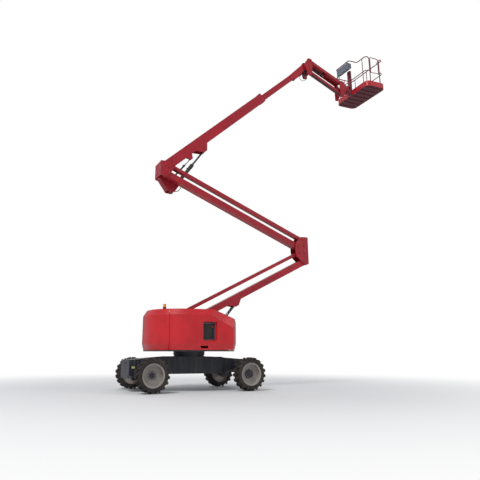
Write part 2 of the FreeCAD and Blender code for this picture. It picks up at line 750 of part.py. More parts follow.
ELBOW = [
    # x and z from the lower arm's pivot, corner radius
    (-105, 775, 40), (166, 788, 25), (168, -44, 25), (34, -99, 25), (-255, 173, 40), (-283, 355, 30), (-274, 573, 50),
]
KNUCKLE = [
    # x and z from the upper arm's pivot, corner radius
    (-180, 347, 25), (-3, 343, 30), (256, 244, 35), (141, 45, 40), (21, -107, 30), (-180, -91, 20),
]
FUNNEL = [
    (-150, -91), (-100, -111), (140, -445, 25), (335, -458, 25), (470, -250, 40), (390, 50, 50), (250, 60, 40),
    (100, 110, 20), (-150, 110),
]


def elbow_frame():
    points = from_pivot(A1, ELBOW)
    face_x = A1[0] + 148
    solids = [side(points, *NEAR_PLATE), side(points, *MID_PLATE)]
    solids.append(box(face_x, face_x + PLATE_T, NEAR_PLATE[0], MID_PLATE[1], A1[1] - 10, A1[1] + 740))
    for p in (A1, B1, E3, E4):
        solids += pin(p, RISER_PIN_R, NEAR_PLATE[0], MID_PLATE[1])
    return fuse(solids)


def knuckle_frame():
    points = from_pivot(K3, KNUCKLE)
    funnel = from_pivot(K3, FUNNEL)
    solids = [side(points, *NEAR_PLATE), side(points, *MID_PLATE), side(points, *FAR_PLATE)]
    solids += [side(funnel, *FUNNEL_PLATE), side(funnel, *FAR_PLATE)]
    rear = K3[0] - 190
    solids.append(box(rear, rear + PLATE_T, NEAR_PLATE[0], FAR_PLATE[1], K3[1] - 70, K3[1] + 345))
    web = [(-150, -91), (-100, -111), (125, -424), (142, -413), (-90, -90), (-150, -71)]
    solids.append(side(from_pivot(K3, web), FUNNEL_PLATE[0], FAR_PLATE[1]))
    spacer = [(-180, -70), (40, -70), (110, 30), (110, 60), (-180, 60)]
    solids.append(side(from_pivot(K3, spacer), MID_PLATE[1], FUNNEL_PLATE[0]))
    for p in (K3, K4):
        solids += pin(p, RISER_PIN_R, NEAR_PLATE[0], MID_PLATE[1])
    solids += pin(K5, BOOM_PIN_R, NEAR_PLATE[0], FAR_PLATE[1])
    solids.append(cross(LIFT_BASE, 24, FUNNEL_PLATE[0], FAR_PLATE[1]))
    solids.append(cross(LEVEL_BASE, 18, FUNNEL_PLATE[0], LEVEL_Y + 26))
    solids.append(cross(LEVEL_BASE, 25, LEVEL_Y + 26, LEVEL_Y + 32))
    return fuse(solids)


def build_riser():
    add("lower_arm", lower_arm())
    add("lower_link", member(B0, LOWER_DEG, LOWER_LEN, LOWER_LINK_DEPTH, LINK_W, 48))
    add("elbow_frame", elbow_frame())
    add("upper_arm", member(K3, -UPPER_DEG, UPPER_LEN, UPPER_DEPTH, ARM_W, UPPER_DEPTH / 2))
    add("upper_link", member(K4, -UPPER_DEG, UPPER_LEN, UPPER_LINK_DEPTH, LINK_W, 50))
    add("knuckle_frame", knuckle_frame())


# Cylinders: a bored barrel with an eye at its base, and a rod with an eye at its top

CYLINDERS = (
    # name, base, rod's eye, y, barrel radius, rod radius, barrel length, rod length, base pin, eye radius, eye width
    ("riser_cylinder", RISER_BASE, RISER_TOP, RISER_Y, 62, 39, 1045, 1010, 22, 46, 116),
    ("lift_cylinder", LIFT_BASE, LIFT_TOP, LIFT_Y, 55, 30, 1000, 1190, 24, 44, 84),
    ("level_cylinder", LEVEL_BASE, LEVEL_TOP, LEVEL_Y, 26, 14, 540, 570, 18, 28, 36),
    ("jib_cylinder", JCYL, JIB_TOP, BOOM_Y, 32, 18, 500, 520, 18, 30, 60),
    ("slave_cylinder", SLAVE_BASE, SLAVE_TOP, BOOM_Y, 28, 15, 370, 360, 16, 28, 50),
)
BORE_GAP = 0.5


def build_cylinders():
    for name, base, top, y, barrel_r, rod_r, barrel_len, rod_len, pin_r, eye_r, eye_w in CYLINDERS:
        length = math.hypot(top[0] - base[0], top[1] - base[1])
        deg = math.degrees(math.atan2(top[1] - base[1], top[0] - base[0]))
        start = polar(base, deg, 0)
        barrel = fuse([
            cross(base, eye_r, y - eye_w / 2, y + eye_w / 2),
            rod(polar(start, deg, eye_r * 0.5), polar(start, deg, barrel_len), barrel_r, y),
        ])
        barrel = barrel.cut(cross(base, pin_r + FIT_GAP, y - 300, y + 300))
        bore = rod(polar(start, deg, eye_r + 25), polar(start, deg, barrel_len + 10), rod_r + BORE_GAP, y)
        add(name + "_barrel", barrel.cut(bore))
        add(name + "_rod", fuse([
            rod(polar(start, deg, length - rod_len), polar(start, deg, length - eye_r * 0.5), rod_r, y),
            cross(top, eye_r, y - eye_w / 2, y + eye_w / 2),
        ]))


# Main boom


def boom_n():
    return -BOOM_UNDER, BOOM_DEPTH - BOOM_UNDER


def fly_n():
    return -FLY_UNDER, FLY_DEPTH - FLY_UNDER


def boom_lug(at, points, y, half_gap, t):
    solids = []
    outline_points = [(at[0] + a, at[1] + b) + tuple(r) for a, b, *r in points]
    for y0, y1 in ((y - half_gap - t, y - half_gap), (y + half_gap, y + half_gap + t)):
        solids.append(along(K5, BOOM_DEG, outline_points, y0, y1))
    return solids


def main_boom():
    n0, n1 = boom_n()
    under_r, top_r = BOOM_HEEL_R
    body = along(K5, BOOM_DEG, [
        (BOOM_BACK, n0, under_r), (BOOM_END, n0), (BOOM_END, n1), (BOOM_BACK, n1, top_r),
    ], BOOM_NEAR, BOOM_FAR)
    wall = BOOM_WALL
    bore = beam(K5, BOOM_DEG, 200, BOOM_END + 50, n0 + wall, n1 - wall, BOOM_NEAR + wall, BOOM_FAR - wall)
    collar = beam(K5, BOOM_DEG, BOOM_END - 110, BOOM_END, n0 - 10, n1 + 10, BOOM_NEAR - 8, BOOM_FAR + 8)
    f0, f1 = fly_n()
    pad = beam(K5, BOOM_DEG, BOOM_END - 100, BOOM_END, n0 + 2, n1 - 2, BOOM_NEAR + 2, BOOM_FAR - 2)
    hollow = beam(K5, BOOM_DEG, BOOM_END - 200, BOOM_END + 50, f0 - SWIVEL_GAP, f1 + SWIVEL_GAP,
                  BOOM_Y - FLY_W / 2 - SWIVEL_GAP, BOOM_Y + FLY_W / 2 + SWIVEL_GAP)
    tube = fuse([body, collar]).cut(bore)
    lift_under = n0 - LIFT_ROD_AT[1] + 4
    level_under = n0 - LEVEL_ROD_AT[1] + 4
    solids = [tube, pad, cross(K5, 70, MID_PLATE[1] + 5, FAR_PLATE[0] - 5)]
    solids += boom_lug(LIFT_ROD_AT, [
        (-280, lift_under), (-60, -48, 30), (50, -56, 50), (230, lift_under), (200, lift_under + 90, 40),
        (-220, lift_under + 90, 60),
    ], BOOM_Y, BOOM_W / 2, 14)
    solids += boom_lug(LEVEL_ROD_AT, [(-120, level_under), (-40, -36, 25), (40, -36, 25), (120, level_under)], LEVEL_Y, 22, 9)
    out = fuse(solids).cut(hollow)
    return out.cut(cross(K5, BOOM_PIN_R + FIT_GAP, -400, 600))


def fly_boom():
    f0, f1 = fly_n()
    n0, n1 = boom_n()
    y0, y1 = BOOM_Y - FLY_W / 2, BOOM_Y + FLY_W / 2
    wall = FLY_WALL
    slide = BOOM_WALL + SWIVEL_GAP
    tube = beam(K5, BOOM_DEG, FLY_START, FLY_END, f0, f1, y0, y1)
    heel = beam(K5, BOOM_DEG, FLY_START, FLY_START + 90, n0 + slide, n1 - slide, BOOM_NEAR + slide, BOOM_FAR - slide)
    bore = beam(K5, BOOM_DEG, FLY_START - 50, FLY_END + 50, f0 + wall, f1 - wall, y0 + wall, y1 - wall)
    s0, m0 = SLAVE_BASE_AT
    tip_s, tip_n = JIB_TIP_AT
    fork = [
        (FLY_END - 70, f0 + 4), (s0 - 30, f0 - 2, 30), (s0 + 10, m0 - 48, 30), (6231, -56, 60), (6500, -12, 80),
        (tip_s - 80, tip_n - 74, 40), (tip_s + 60, tip_n - 30, 45), (tip_s + 44, tip_n + 80, 50), (6571, 204, 80),
        (FLY_END - 70, f1 + 1),
    ]
    solids = [fuse([tube, heel]).cut(bore)]
    for ya, yb in ((y0 - 12, y0), (y1, y1 + 12)):
        solids.append(along(K5, BOOM_DEG, fork, ya, yb))
    solids.append(along(K5, BOOM_DEG, [(FLY_END - 70, f1 - 6), (6571, 190), (6571, 202), (FLY_END - 70, f1 + 1)], y0, y1))
    solids.append(beam(K5, BOOM_DEG, FLY_END - 20, FLY_END, f0, f1, y0, y1))
    solids.append(cross(J0, 55, y0 - 12, y1 + 12))
    solids.append(cross(SLAVE_BASE, 16, y0 - 12, y1 + 12))
    out = fuse(solids)
    return out.cut(cross(J0, 26 + FIT_GAP, -400, 600))


def build_boom():
    add("main_boom", main_boom())
    add("fly_boom", fly_boom())


# Jib

JIB_BASE = [
    # x and z from the boom tip's pivot, corner radius
    (-75, -40, 60), (-60, 70, 60), (75, 285, 60), (220, 275, 55), (260, 60, 60), (225, -160, 40), (215, -358, 40),
    (55, -368, 30), (10, -200, 50),
]
JIB_HEAD = [
    # x and z from the jib arm's outer pivot, corner radius
    (-55, 58, 54), (60, 58, 54), (213, -85, 30), (216, -245, 30), (62, -575, 40), (-52, -575, 40),
]


def jib_base():
    points = from_pivot(J0, JIB_BASE)
    y0, y1 = JIB_NEAR_PLATE[0], JIB_FAR_PLATE[1]
    solids = [side(points, *JIB_NEAR_PLATE), side(points, *JIB_FAR_PLATE), cross(J0, 26, y0, y1)]
    for p in (JA, JB):
        solids += pin(p, JIB_PIN_R, y0, y1)
    solids.append(cross(JC, 18, y0, LEVEL_BAR_Y + 40))
    solids.append(cross(JCYL, 18, y0, y1))
    solids.append(box(J0[0] + 58, J0[0] + 104, y0, y1, J0[1] - 350, J0[1] - 220))
    lug = [(-66, -235, 34), (-20, -206, 30), (80, -222), (80, -345), (40, -345, 20), (-50, -280, 34)]
    for ya in (BOOM_Y - 45, BOOM_Y + 33):
        solids.append(side(from_pivot(J0, lug), ya, ya + 12))
    return fuse(solids)


def base_pin_seen(luff):
    # the jib cylinder's base pin along and across the arm, when the arm is luffed that many degrees
    dx, dz = JCYL[0] - JA[0], JCYL[1] - JA[1]
    a = math.radians(JIB_DEG + luff)
    return dx * math.cos(a) + dz * math.sin(a), dz * math.cos(a) - dx * math.sin(a)


def jib_arm():
    half = JIB_DEPTH / 2
    shell = beam(JA, JIB_DEG, 0, JIB_LEN, -half, half, *JIB_Y)
    hollow = beam(JA, JIB_DEG, -200, JIB_LEN + 200, -2 * half, half - JIB_WALL, JIB_Y[0] + JIB_WALL, JIB_Y[1] - JIB_WALL)
    near = (JIB_Y[0], JIB_Y[0] + 30)
    far = (JIB_Y[1] - 30, JIB_Y[1])
    solids = [shell.cut(hollow)]
    for p in (JA, PA):
        for y0, y1 in (near, far):
            solids.append(cross(p, half - 1, y0, y1))
    # two lugs inside the channel hold the rod's eye
    s, n = JIB_ROD_AT
    lug = [(s - 70, half - JIB_WALL + 2), (s - 30, n - 24, 22), (s + 30, n - 24, 22), (s + 70, half - JIB_WALL + 2)]
    for y0 in (BOOM_Y - 46, BOOM_Y + 36):
        solids.append(along(JA, JIB_DEG, lug, y0, y0 + 10))
    # a slot in both side walls lets the cylinder's base pin in when the arm is down
    s, n = base_pin_seen(-JIB_DOWN_DEG)
    low_s, low_n = base_pin_seen(-JIB_DOWN_DEG / 2)
    slot = [(low_s - 26, -half - 20), (s - 25, n + 24, 22), (s + 25, n + 24, 22), (s + 20, -half - 20)]
    out = fuse(solids).cut(along(JA, JIB_DEG, slot, JIB_Y[0] - 10, JIB_Y[1] + 10))
    return drill(out, (JA, PA), JIB_PIN_R + FIT_GAP)


def jib_lower_arm():
    half = JIB_LOWER_DEPTH / 2
    y0, y1 = BOOM_Y - JIB_LOWER_W / 2, BOOM_Y + JIB_LOWER_W / 2
    solids = [beam(JB, JIB_DEG, 0, JIB_LEN, -half, half, y0, y1), cross(JB, half, y0, y1), cross(PB, half, y0, y1)]
    return drill(fuse(solids), (JB, PB), JIB_PIN_R + FIT_GAP)


def jib_level_rod():
    y0, y1 = LEVEL_BAR_Y - 24, LEVEL_BAR_Y + 24
    solids = [rod(JC, PC, LEVEL_BAR_R, LEVEL_BAR_Y), cross(JC, 34, y0, y1), cross(PC, 34, y0, y1)]
    return drill(fuse(solids), (JC, PC), 18 + FIT_GAP)


def platform_mount():
    points = from_pivot(PA, JIB_HEAD)
    y0, y1 = JIB_NEAR_PLATE[0], JIB_FAR_PLATE[1]
    solids = [side(points, *JIB_NEAR_PLATE), side(points, *JIB_FAR_PLATE)]
    for p in (PA, PB):
        solids += pin(p, JIB_PIN_R, y0, y1)
    solids.append(cross(PC, 18, y0, LEVEL_BAR_Y + 40))
    wall_x = PA[0] + 190
    top = PLATFORM_Z + 20 + ROTATOR_H
    solids.append(box(wall_x, wall_x + PLATE_T, y0, y1, PA[1] - 245, PA[1] - 80))
    solids.append(box(wall_x, ROTATOR_X, BOOM_Y - 70, BOOM_Y + 70, top - 190, top - 30))
    solids.append(post(ROTATOR_X, BOOM_Y, ROTATOR_R, top - ROTATOR_H, top))
    return fuse(solids)


def build_jib():
    add("jib_base", jib_base())
    add("jib_arm", jib_arm())
    add("jib_lower_arm", jib_lower_arm())
    add("jib_level_rod", jib_level_rod())
    add("platform_mount", platform_mount())


# Platform


def platform_plan(inset, z0, z1):
    w = PLATFORM_W / 2 - inset
    half = PLATFORM_L / 2 - inset
    r = PLATFORM_R - inset
    x, y = PLATFORM_X, BOOM_Y
    return plan([(x - w, y - half, r), (x + w, y - half, r), (x + w, y + half, r), (x - w, y + half, r)], z0, z1)


def pipe(points, radius, bend):
    # a tube bent at each inner point, swept along one wire
    pts = [V(*p) for p in points]
    edges = []
    start = pts[0]
    for here, following in zip(pts[1:-1], pts[2:]):
        back = start - here
        ahead = following - here
        back.normalize()
        ahead.normalize()
        half = back.getAngle(ahead) / 2
        reach = bend / math.tan(half)
        middle = back + ahead
        middle.normalize()
        inner = here + middle * (bend / math.sin(half) - bend)
        edges.append(Part.LineSegment(start, here + back * reach).toShape())
        edges.append(Part.Arc(here + back * reach, inner, here + ahead * reach).toShape())
        start = here + ahead * reach
    edges.append(Part.LineSegment(start, pts[-1]).toShape())
    ring = Part.Wire([Part.makeCircle(radius, pts[0], pts[1] - pts[0])])
    return Part.Wire(edges).makePipeShell([ring], True, False)


def rail_box():
    w = PLATFORM_W / 2 - RAIL_INSET
    half = PLATFORM_L / 2 - RAIL_INSET
    return PLATFORM_X - w, PLATFORM_X + w, BOOM_Y - half, BOOM_Y + half


def platform_floor():
    return platform_plan(TOE_T, PLATFORM_Z - FLOOR_T, PLATFORM_Z)


def toe_board():
    z0 = PLATFORM_Z - FLOOR_T
    return platform_plan(0, z0, PLATFORM_Z + TOE_H).cut(platform_plan(TOE_T, z0 - 10, PLATFORM_Z + TOE_H + 10))


def platform_rails():
    x0, x1, y0, y1 = rail_box()
    bend = PLATFORM_R - RAIL_INSET
    top = PLATFORM_Z + RAIL_H
    mid = PLATFORM_Z + MID_RAIL_H
    gate0 = PLATFORM_X - GATE_W / 2
    gate1 = PLATFORM_X + GATE_W / 2
    bulge = (BOOM_Y - BULGE_HALF, BOOM_Y + BULGE_HALF)
    xb = x0 - BULGE_OUT
    # the top rail turns down into the gate's two posts
    route = [
        (gate0, y0, PLATFORM_Z), (gate0, y0, top), (x0, y0, top), (x0, bulge[0], top), (xb, bulge[0], top),
        (xb, bulge[1], top), (x0, bulge[1], top), (x0, y1, top), (x1, y1, top), (x1, y0, top),
        (gate1, y0, top), (gate1, y0, PLATFORM_Z),
    ]
    solids = [pipe(route, RAIL_R, RAIL_BEND)]
    low = [(gate0, y0, mid), (x0, y0, mid), (x0, y1, mid), (x1, y1, mid), (x1, y0, mid), (gate1, y0, mid)]
    solids.append(pipe(low, RAIL_R - 2, bend))
    posts = [(PLATFORM_X, y1)]
    posts += [(x1, y) for y in (y0 + 190, BOOM_Y, y1 - 190)]
    posts += [(x0, y) for y in (y0 + 190, y1 - 190)]
    for x, y in posts:
        solids.append(post(x, y, RAIL_R - 3, PLATFORM_Z, top - RAIL_R / 2))
    for x, y in posts + [(gate0, y0), (gate1, y0)]:
        solids.append(post(x, y, RAIL_INSET - TOE_T - 1, PLATFORM_Z, PLATFORM_Z + 12))
    return fuse(solids)


def control_console():
    x0 = rail_box()[0] - BULGE_OUT
    top = PLATFORM_Z + RAIL_H - RAIL_R
    tray = [(x0 - 8, top - 20), (x0 + 150, top - 50), (x0 + 150, top - 220), (x0 - 8, top - 290)]
    body = side(tray, BOOM_Y - 330, BOOM_Y + 330)
    hooks = [box(x0 - 6, x0 + 6, y, y + 40, top - 60, top + 2) for y in (BOOM_Y - 300, BOOM_Y + 260)]
    return drill(fuse([body] + hooks), [(x0, top + RAIL_R)], RAIL_R + FIT_GAP)


def platform_gate():
    y0 = rail_box()[2]
    bar_r = RAIL_R - 3
    half = GATE_W / 2 - RAIL_R - bar_r - GATE_GAP
    top = PLATFORM_Z + RAIL_H
    mid = PLATFORM_Z + MID_RAIL_H
    x0, x1 = PLATFORM_X - half, PLATFORM_X + half
    loop = [(x0, y0, mid - 80), (x0, y0, top), (x1, y0, top), (x1, y0, mid - 80)]
    solids = [pipe(loop, bar_r, 60)]
    solids.append(Part.makeCylinder(bar_r - 2, x1 - x0, V(x0, y0, mid - 60), V(1, 0, 0)))
    hinge_x = PLATFORM_X - GATE_W / 2
    for z in (mid + 60, top - 160):
        solids.append(post(hinge_x, y0, RAIL_R + 6, z, z + 50))
        solids.append(box(hinge_x, x0, y0 - 8, y0 + 8, z + 10, z + 40))
    out = fuse(solids)
    return out.cut(post(hinge_x, y0, RAIL_R + FIT_GAP, PLATFORM_Z, top + 50))


def platform_support():
    x_face = PLATFORM_X - PLATFORM_W / 2
    top = PLATFORM_Z + 20 + ROTATOR_H
    low = top - ROTATOR_H
    column = box(x_face - 70, x_face, BOOM_Y - 75, BOOM_Y + 75, PLATFORM_Z - FLOOR_T, PLATFORM_Z + 920)
    solids = [column]
    for z0, z1 in ((low - 32 - SWIVEL_GAP, low - SWIVEL_GAP), (top + SWIVEL_GAP, top + 30 + SWIVEL_GAP)):
        clamp = [
            (ROTATOR_X - 80, BOOM_Y - 80, 78), (x_face - 60, BOOM_Y - 75), (x_face - 60, BOOM_Y + 75),
            (ROTATOR_X - 80, BOOM_Y + 80, 78),
        ]
        solids.append(plan(clamp, z0, z1))
    clamp_x = rail_box()[0] - RAIL_R - FIT_GAP
    solids.append(box(x_face - 5, clamp_x, BOOM_Y - 75, BOOM_Y + 75, PLATFORM_Z + MID_RAIL_H - 20, PLATFORM_Z + MID_RAIL_H + 20))
    return fuse(solids)


def build_platform():
    add("platform_support", platform_support())
    add("platform_floor", platform_floor())
    add("toe_board", toe_board())
    add("platform_rails", platform_rails())
    add("control_console", control_console())
    add("platform_gate", platform_gate())


def main():
    os.makedirs("parts", exist_ok=True)
    build_wheels()
    build_chassis()
    build_turntable()
    build_riser()
    build_cylinders()
    build_boom()
    build_jib()
    build_platform()
    for node, shape in PARTS.items():
        shape.exportStep("parts/" + node + ".step")
        print(node, len(shape.Solids), round(shape.Volume / 1e9, 4), shape.isValid())


main()
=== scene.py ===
import math

import bmesh
import bpy
from mathutils import Matrix, Vector


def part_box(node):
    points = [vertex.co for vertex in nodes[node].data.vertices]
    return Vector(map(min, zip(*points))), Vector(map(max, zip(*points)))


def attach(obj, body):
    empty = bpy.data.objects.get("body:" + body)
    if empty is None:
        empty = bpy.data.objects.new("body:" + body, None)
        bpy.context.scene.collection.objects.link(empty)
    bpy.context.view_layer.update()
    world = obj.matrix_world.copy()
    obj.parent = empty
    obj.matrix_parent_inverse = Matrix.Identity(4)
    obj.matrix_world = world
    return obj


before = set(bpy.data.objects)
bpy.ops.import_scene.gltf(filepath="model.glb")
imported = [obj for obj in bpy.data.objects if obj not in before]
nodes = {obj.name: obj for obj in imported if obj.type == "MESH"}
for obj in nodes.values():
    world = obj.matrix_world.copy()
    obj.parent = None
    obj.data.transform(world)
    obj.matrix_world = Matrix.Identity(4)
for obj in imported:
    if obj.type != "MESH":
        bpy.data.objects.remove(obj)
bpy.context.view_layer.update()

# The viewpoint stands near the ground, off the machine's near side, and looks up at the boom.
# The lens is a short telephoto one, with a small shift that keeps the whole machine in the frame.

EYE = Vector((-5.10152, -14.10225, 0.97533))
HEADING = 0.417
PITCH = 0.286
LENS = 39.844
SHIFT = (0.02549, -0.09338)

camera_data = bpy.data.cameras.new("camera")
camera_data.lens = LENS
camera_data.sensor_width = 36
camera_data.shift_x, camera_data.shift_y = SHIFT
camera_data.clip_end = 200
camera = bpy.data.objects.new("camera", camera_data)
camera.location = EYE
look = Vector((math.sin(HEADING) * math.cos(PITCH), math.cos(HEADING) * math.cos(PITCH), math.sin(PITCH)))
camera.rotation_mode = "QUATERNION"
camera.rotation_quaternion = look.to_track_quat("-Z", "Y")
bpy.context.scene.collection.objects.link(camera)
bpy.context.scene.camera = camera
bpy.context.scene.view_settings.view_transform = "Standard"


# The machine stands on a plain pale studio floor under a pale sky.
# One broad lamp stands in for the sun, high on the left, and two weaker ones fill the shadows.

FLOOR_COLOUR = (0.80, 0.80, 0.80)
SKY_COLOUR = (0.90, 0.94, 1.0)
SKY_LIGHT = 0.42
BACKDROP = (1.0, 1.0, 1.0)
FLOOR_REACH = 90.0
# away from the machine the camera sees the floor fade into the white backdrop
FADE_START, FADE_END = 3.0, 13.0
# place, size and power of each lamp
LAMPS = [
    ((-16, -14, 24), 9, 5000),
    ((22, -16, 14), 12, 1000),
    ((2, 22, 18), 12, 900),
]
LAMP_TARGET = Vector((1.5, 0, 4))


def link(obj):
    bpy.context.scene.collection.objects.link(obj)
    return obj


def nodes_of(material):
    # a material's node tree with its shader
    material.use_nodes = True
    return material.node_tree, material.node_tree.nodes["Principled BSDF"]


def add_node(tree, kind, settings=(), **values):
    # a node with its settings and the first values of its inputs, where underscores stand for spaces
    node = tree.nodes.new("ShaderNode" + kind)
    for label, value in settings:
        setattr(node, label, value)
    for label, value in values.items():
        node.inputs[label.replace("_", " ")].default_value = value
    return node


floor_mesh = bpy.data.meshes.new("floor")
floor_mesh.from_pydata([(-FLOOR_REACH, -FLOOR_REACH, 0), (FLOOR_REACH, -FLOOR_REACH, 0),
                        (FLOOR_REACH, FLOOR_REACH, 0), (-FLOOR_REACH, FLOOR_REACH, 0)], [], [(0, 1, 2, 3)])
floor_mesh.update()
floor = link(bpy.data.objects.new("floor", floor_mesh))
floor_paint = bpy.data.materials.new("studio_floor")
floor_tree, floor_shader = nodes_of(floor_paint)
floor_shader.inputs["Base Color"].default_value = (*FLOOR_COLOUR, 1)
floor_shader.inputs["Roughness"].default_value = 0.9
floor_spot = add_node(floor_tree, "TexCoord")
floor_reach = add_node(floor_tree, "VectorMath", [("operation", "LENGTH")])
floor_fade = add_node(floor_tree, "MapRange", [("interpolation_type", "SMOOTHSTEP")],
                      From_Min=FADE_START, From_Max=FADE_END)
floor_ray = add_node(floor_tree, "LightPath")
floor_seen = add_node(floor_tree, "Math", [("operation", "MULTIPLY")])
floor_white = add_node(floor_tree, "Emission")
floor_mix = add_node(floor_tree, "MixShader")
floor_tree.links.new(floor_spot.outputs["Object"], floor_reach.inputs[0])
floor_tree.links.new(floor_reach.outputs["Value"], floor_fade.inputs["Value"])
floor_tree.links.new(floor_fade.outputs["Result"], floor_seen.inputs[0])
floor_tree.links.new(floor_ray.outputs["Is Camera Ray"], floor_seen.inputs[1])
floor_tree.links.new(floor_seen.outputs["Value"], floor_mix.inputs["Fac"])
floor_tree.links.new(floor_shader.outputs["BSDF"], floor_mix.inputs[1])
floor_tree.links.new(floor_white.outputs["Emission"], floor_mix.inputs[2])
floor_tree.links.new(floor_mix.outputs["Shader"], floor_tree.nodes["Material Output"].inputs["Surface"])
floor_mesh.materials.append(floor_paint)

world = bpy.data.worlds.new("sky")
bpy.context.scene.world = world
world.use_nodes = True
sky = world.node_tree.nodes["Background"]
sky.inputs["Color"].default_value = (*SKY_COLOUR, 1)
sky.inputs["Strength"].default_value = SKY_LIGHT
seen_sky = add_node(world.node_tree, "Background")
seen_sky.inputs["Color"].default_value = (*BACKDROP, 1)
seen_sky.inputs["Strength"].default_value = 1.0
ray = add_node(world.node_tree, "LightPath")
either = add_node(world.node_tree, "MixShader")
world.node_tree.links.new(ray.outputs["Is Camera Ray"], either.inputs["Fac"])
world.node_tree.links.new(sky.outputs["Background"], either.inputs[1])
world.node_tree.links.new(seen_sky.outputs["Background"], either.inputs[2])
world.node_tree.links.new(either.outputs["Shader"], world.node_tree.nodes["World Output"].inputs["Surface"])

for number, (place, size, power) in enumerate(LAMPS):
    lamp_data = bpy.data.lights.new(f"lamp_{number}", "AREA")
    lamp_data.size = size
    lamp_data.energy = power
    lamp = link(bpy.data.objects.new(f"lamp_{number}", lamp_data))
    lamp.location = place
    lamp.rotation_euler = (LAMP_TARGET - Vector(place)).to_track_quat("-Z", "Y").to_euler()


# Two short hydraulic hoses of wire-braided rubber hang free: one at the boom's tip, one at the knuckle.
# Each hose ends in crimped steel ferrules, held by a clamp on a short bar that is welded to the plate.

BARE_STEEL = (0.30, 0.29, 0.28)
ROAD_DUST = (0.24, 0.20, 0.17)
HOSE_GREY = (0.11, 0.11, 0.12)
FITTING_GREY = (0.16, 0.15, 0.14)
# the route's points along X and up, in metres
TIP_ROUTE = [
    (3.950, 10.300), (3.925, 10.205), (3.930, 10.110), (3.985, 10.045), (4.070, 10.045), (4.150, 10.095),
    (4.205, 10.175), (4.185, 10.245), (4.115, 10.262), (4.045, 10.272), (3.983, 10.318),
]
KNUCKLE_ROUTE = [
    (-0.575, 5.545), (-0.500, 5.500), (-0.410, 5.495), (-0.325, 5.550), (-0.270, 5.640), (-0.262, 5.735),
    (-0.310, 5.815), (-0.400, 5.850), (-0.490, 5.845),
]
# body, route, distance from the middle plane, radius, length, place of the plate under the clamp bars
HOSES = {
    "tip_hose": ("fly_boom", TIP_ROUTE, 0.088, 0.009, 0.82, 0.065),
    "knuckle_hose": ("knuckle", KNUCKLE_ROUTE, 0.245, 0.011, 0.74, 0.275),
}


def shader_group(name, inputs, outputs):
    # a named group whose inputs and outputs are (name, kind, first value) and (name, kind)
    group = bpy.data.node_groups.new(name, "ShaderNodeTree")
    for label, kind, value in inputs:
        socket = group.interface.new_socket(label, in_out="INPUT", socket_type="NodeSocket" + kind)
        socket.default_value = value
    for label, kind in outputs:
        group.interface.new_socket(label, in_out="OUTPUT", socket_type="NodeSocket" + kind)
    return group, group.nodes.new("NodeGroupInput"), group.nodes.new("NodeGroupOutput")


def blend_colours(tree, factor, first, second, mode="MIX"):
    # each of the three is a socket or a value
    mix = add_node(tree, "Mix", [("data_type", "RGBA"), ("blend_type", mode)])
    for socket, value in ((mix.inputs[0], factor), (mix.inputs[6], first), (mix.inputs[7], second)):
        if isinstance(value, bpy.types.NodeSocket):
            tree.links.new(value, socket)
        else:
            socket.default_value = value
    return mix.outputs[2]


def remap(tree, value, low, high, to_low=0.0, to_high=1.0):
    # a value spread from one span to another and held inside it
    spread = add_node(tree, "MapRange", From_Min=low, From_Max=high, To_Min=to_low, To_Max=to_high)
    tree.links.new(value, spread.inputs["Value"])
    return spread.outputs["Result"]


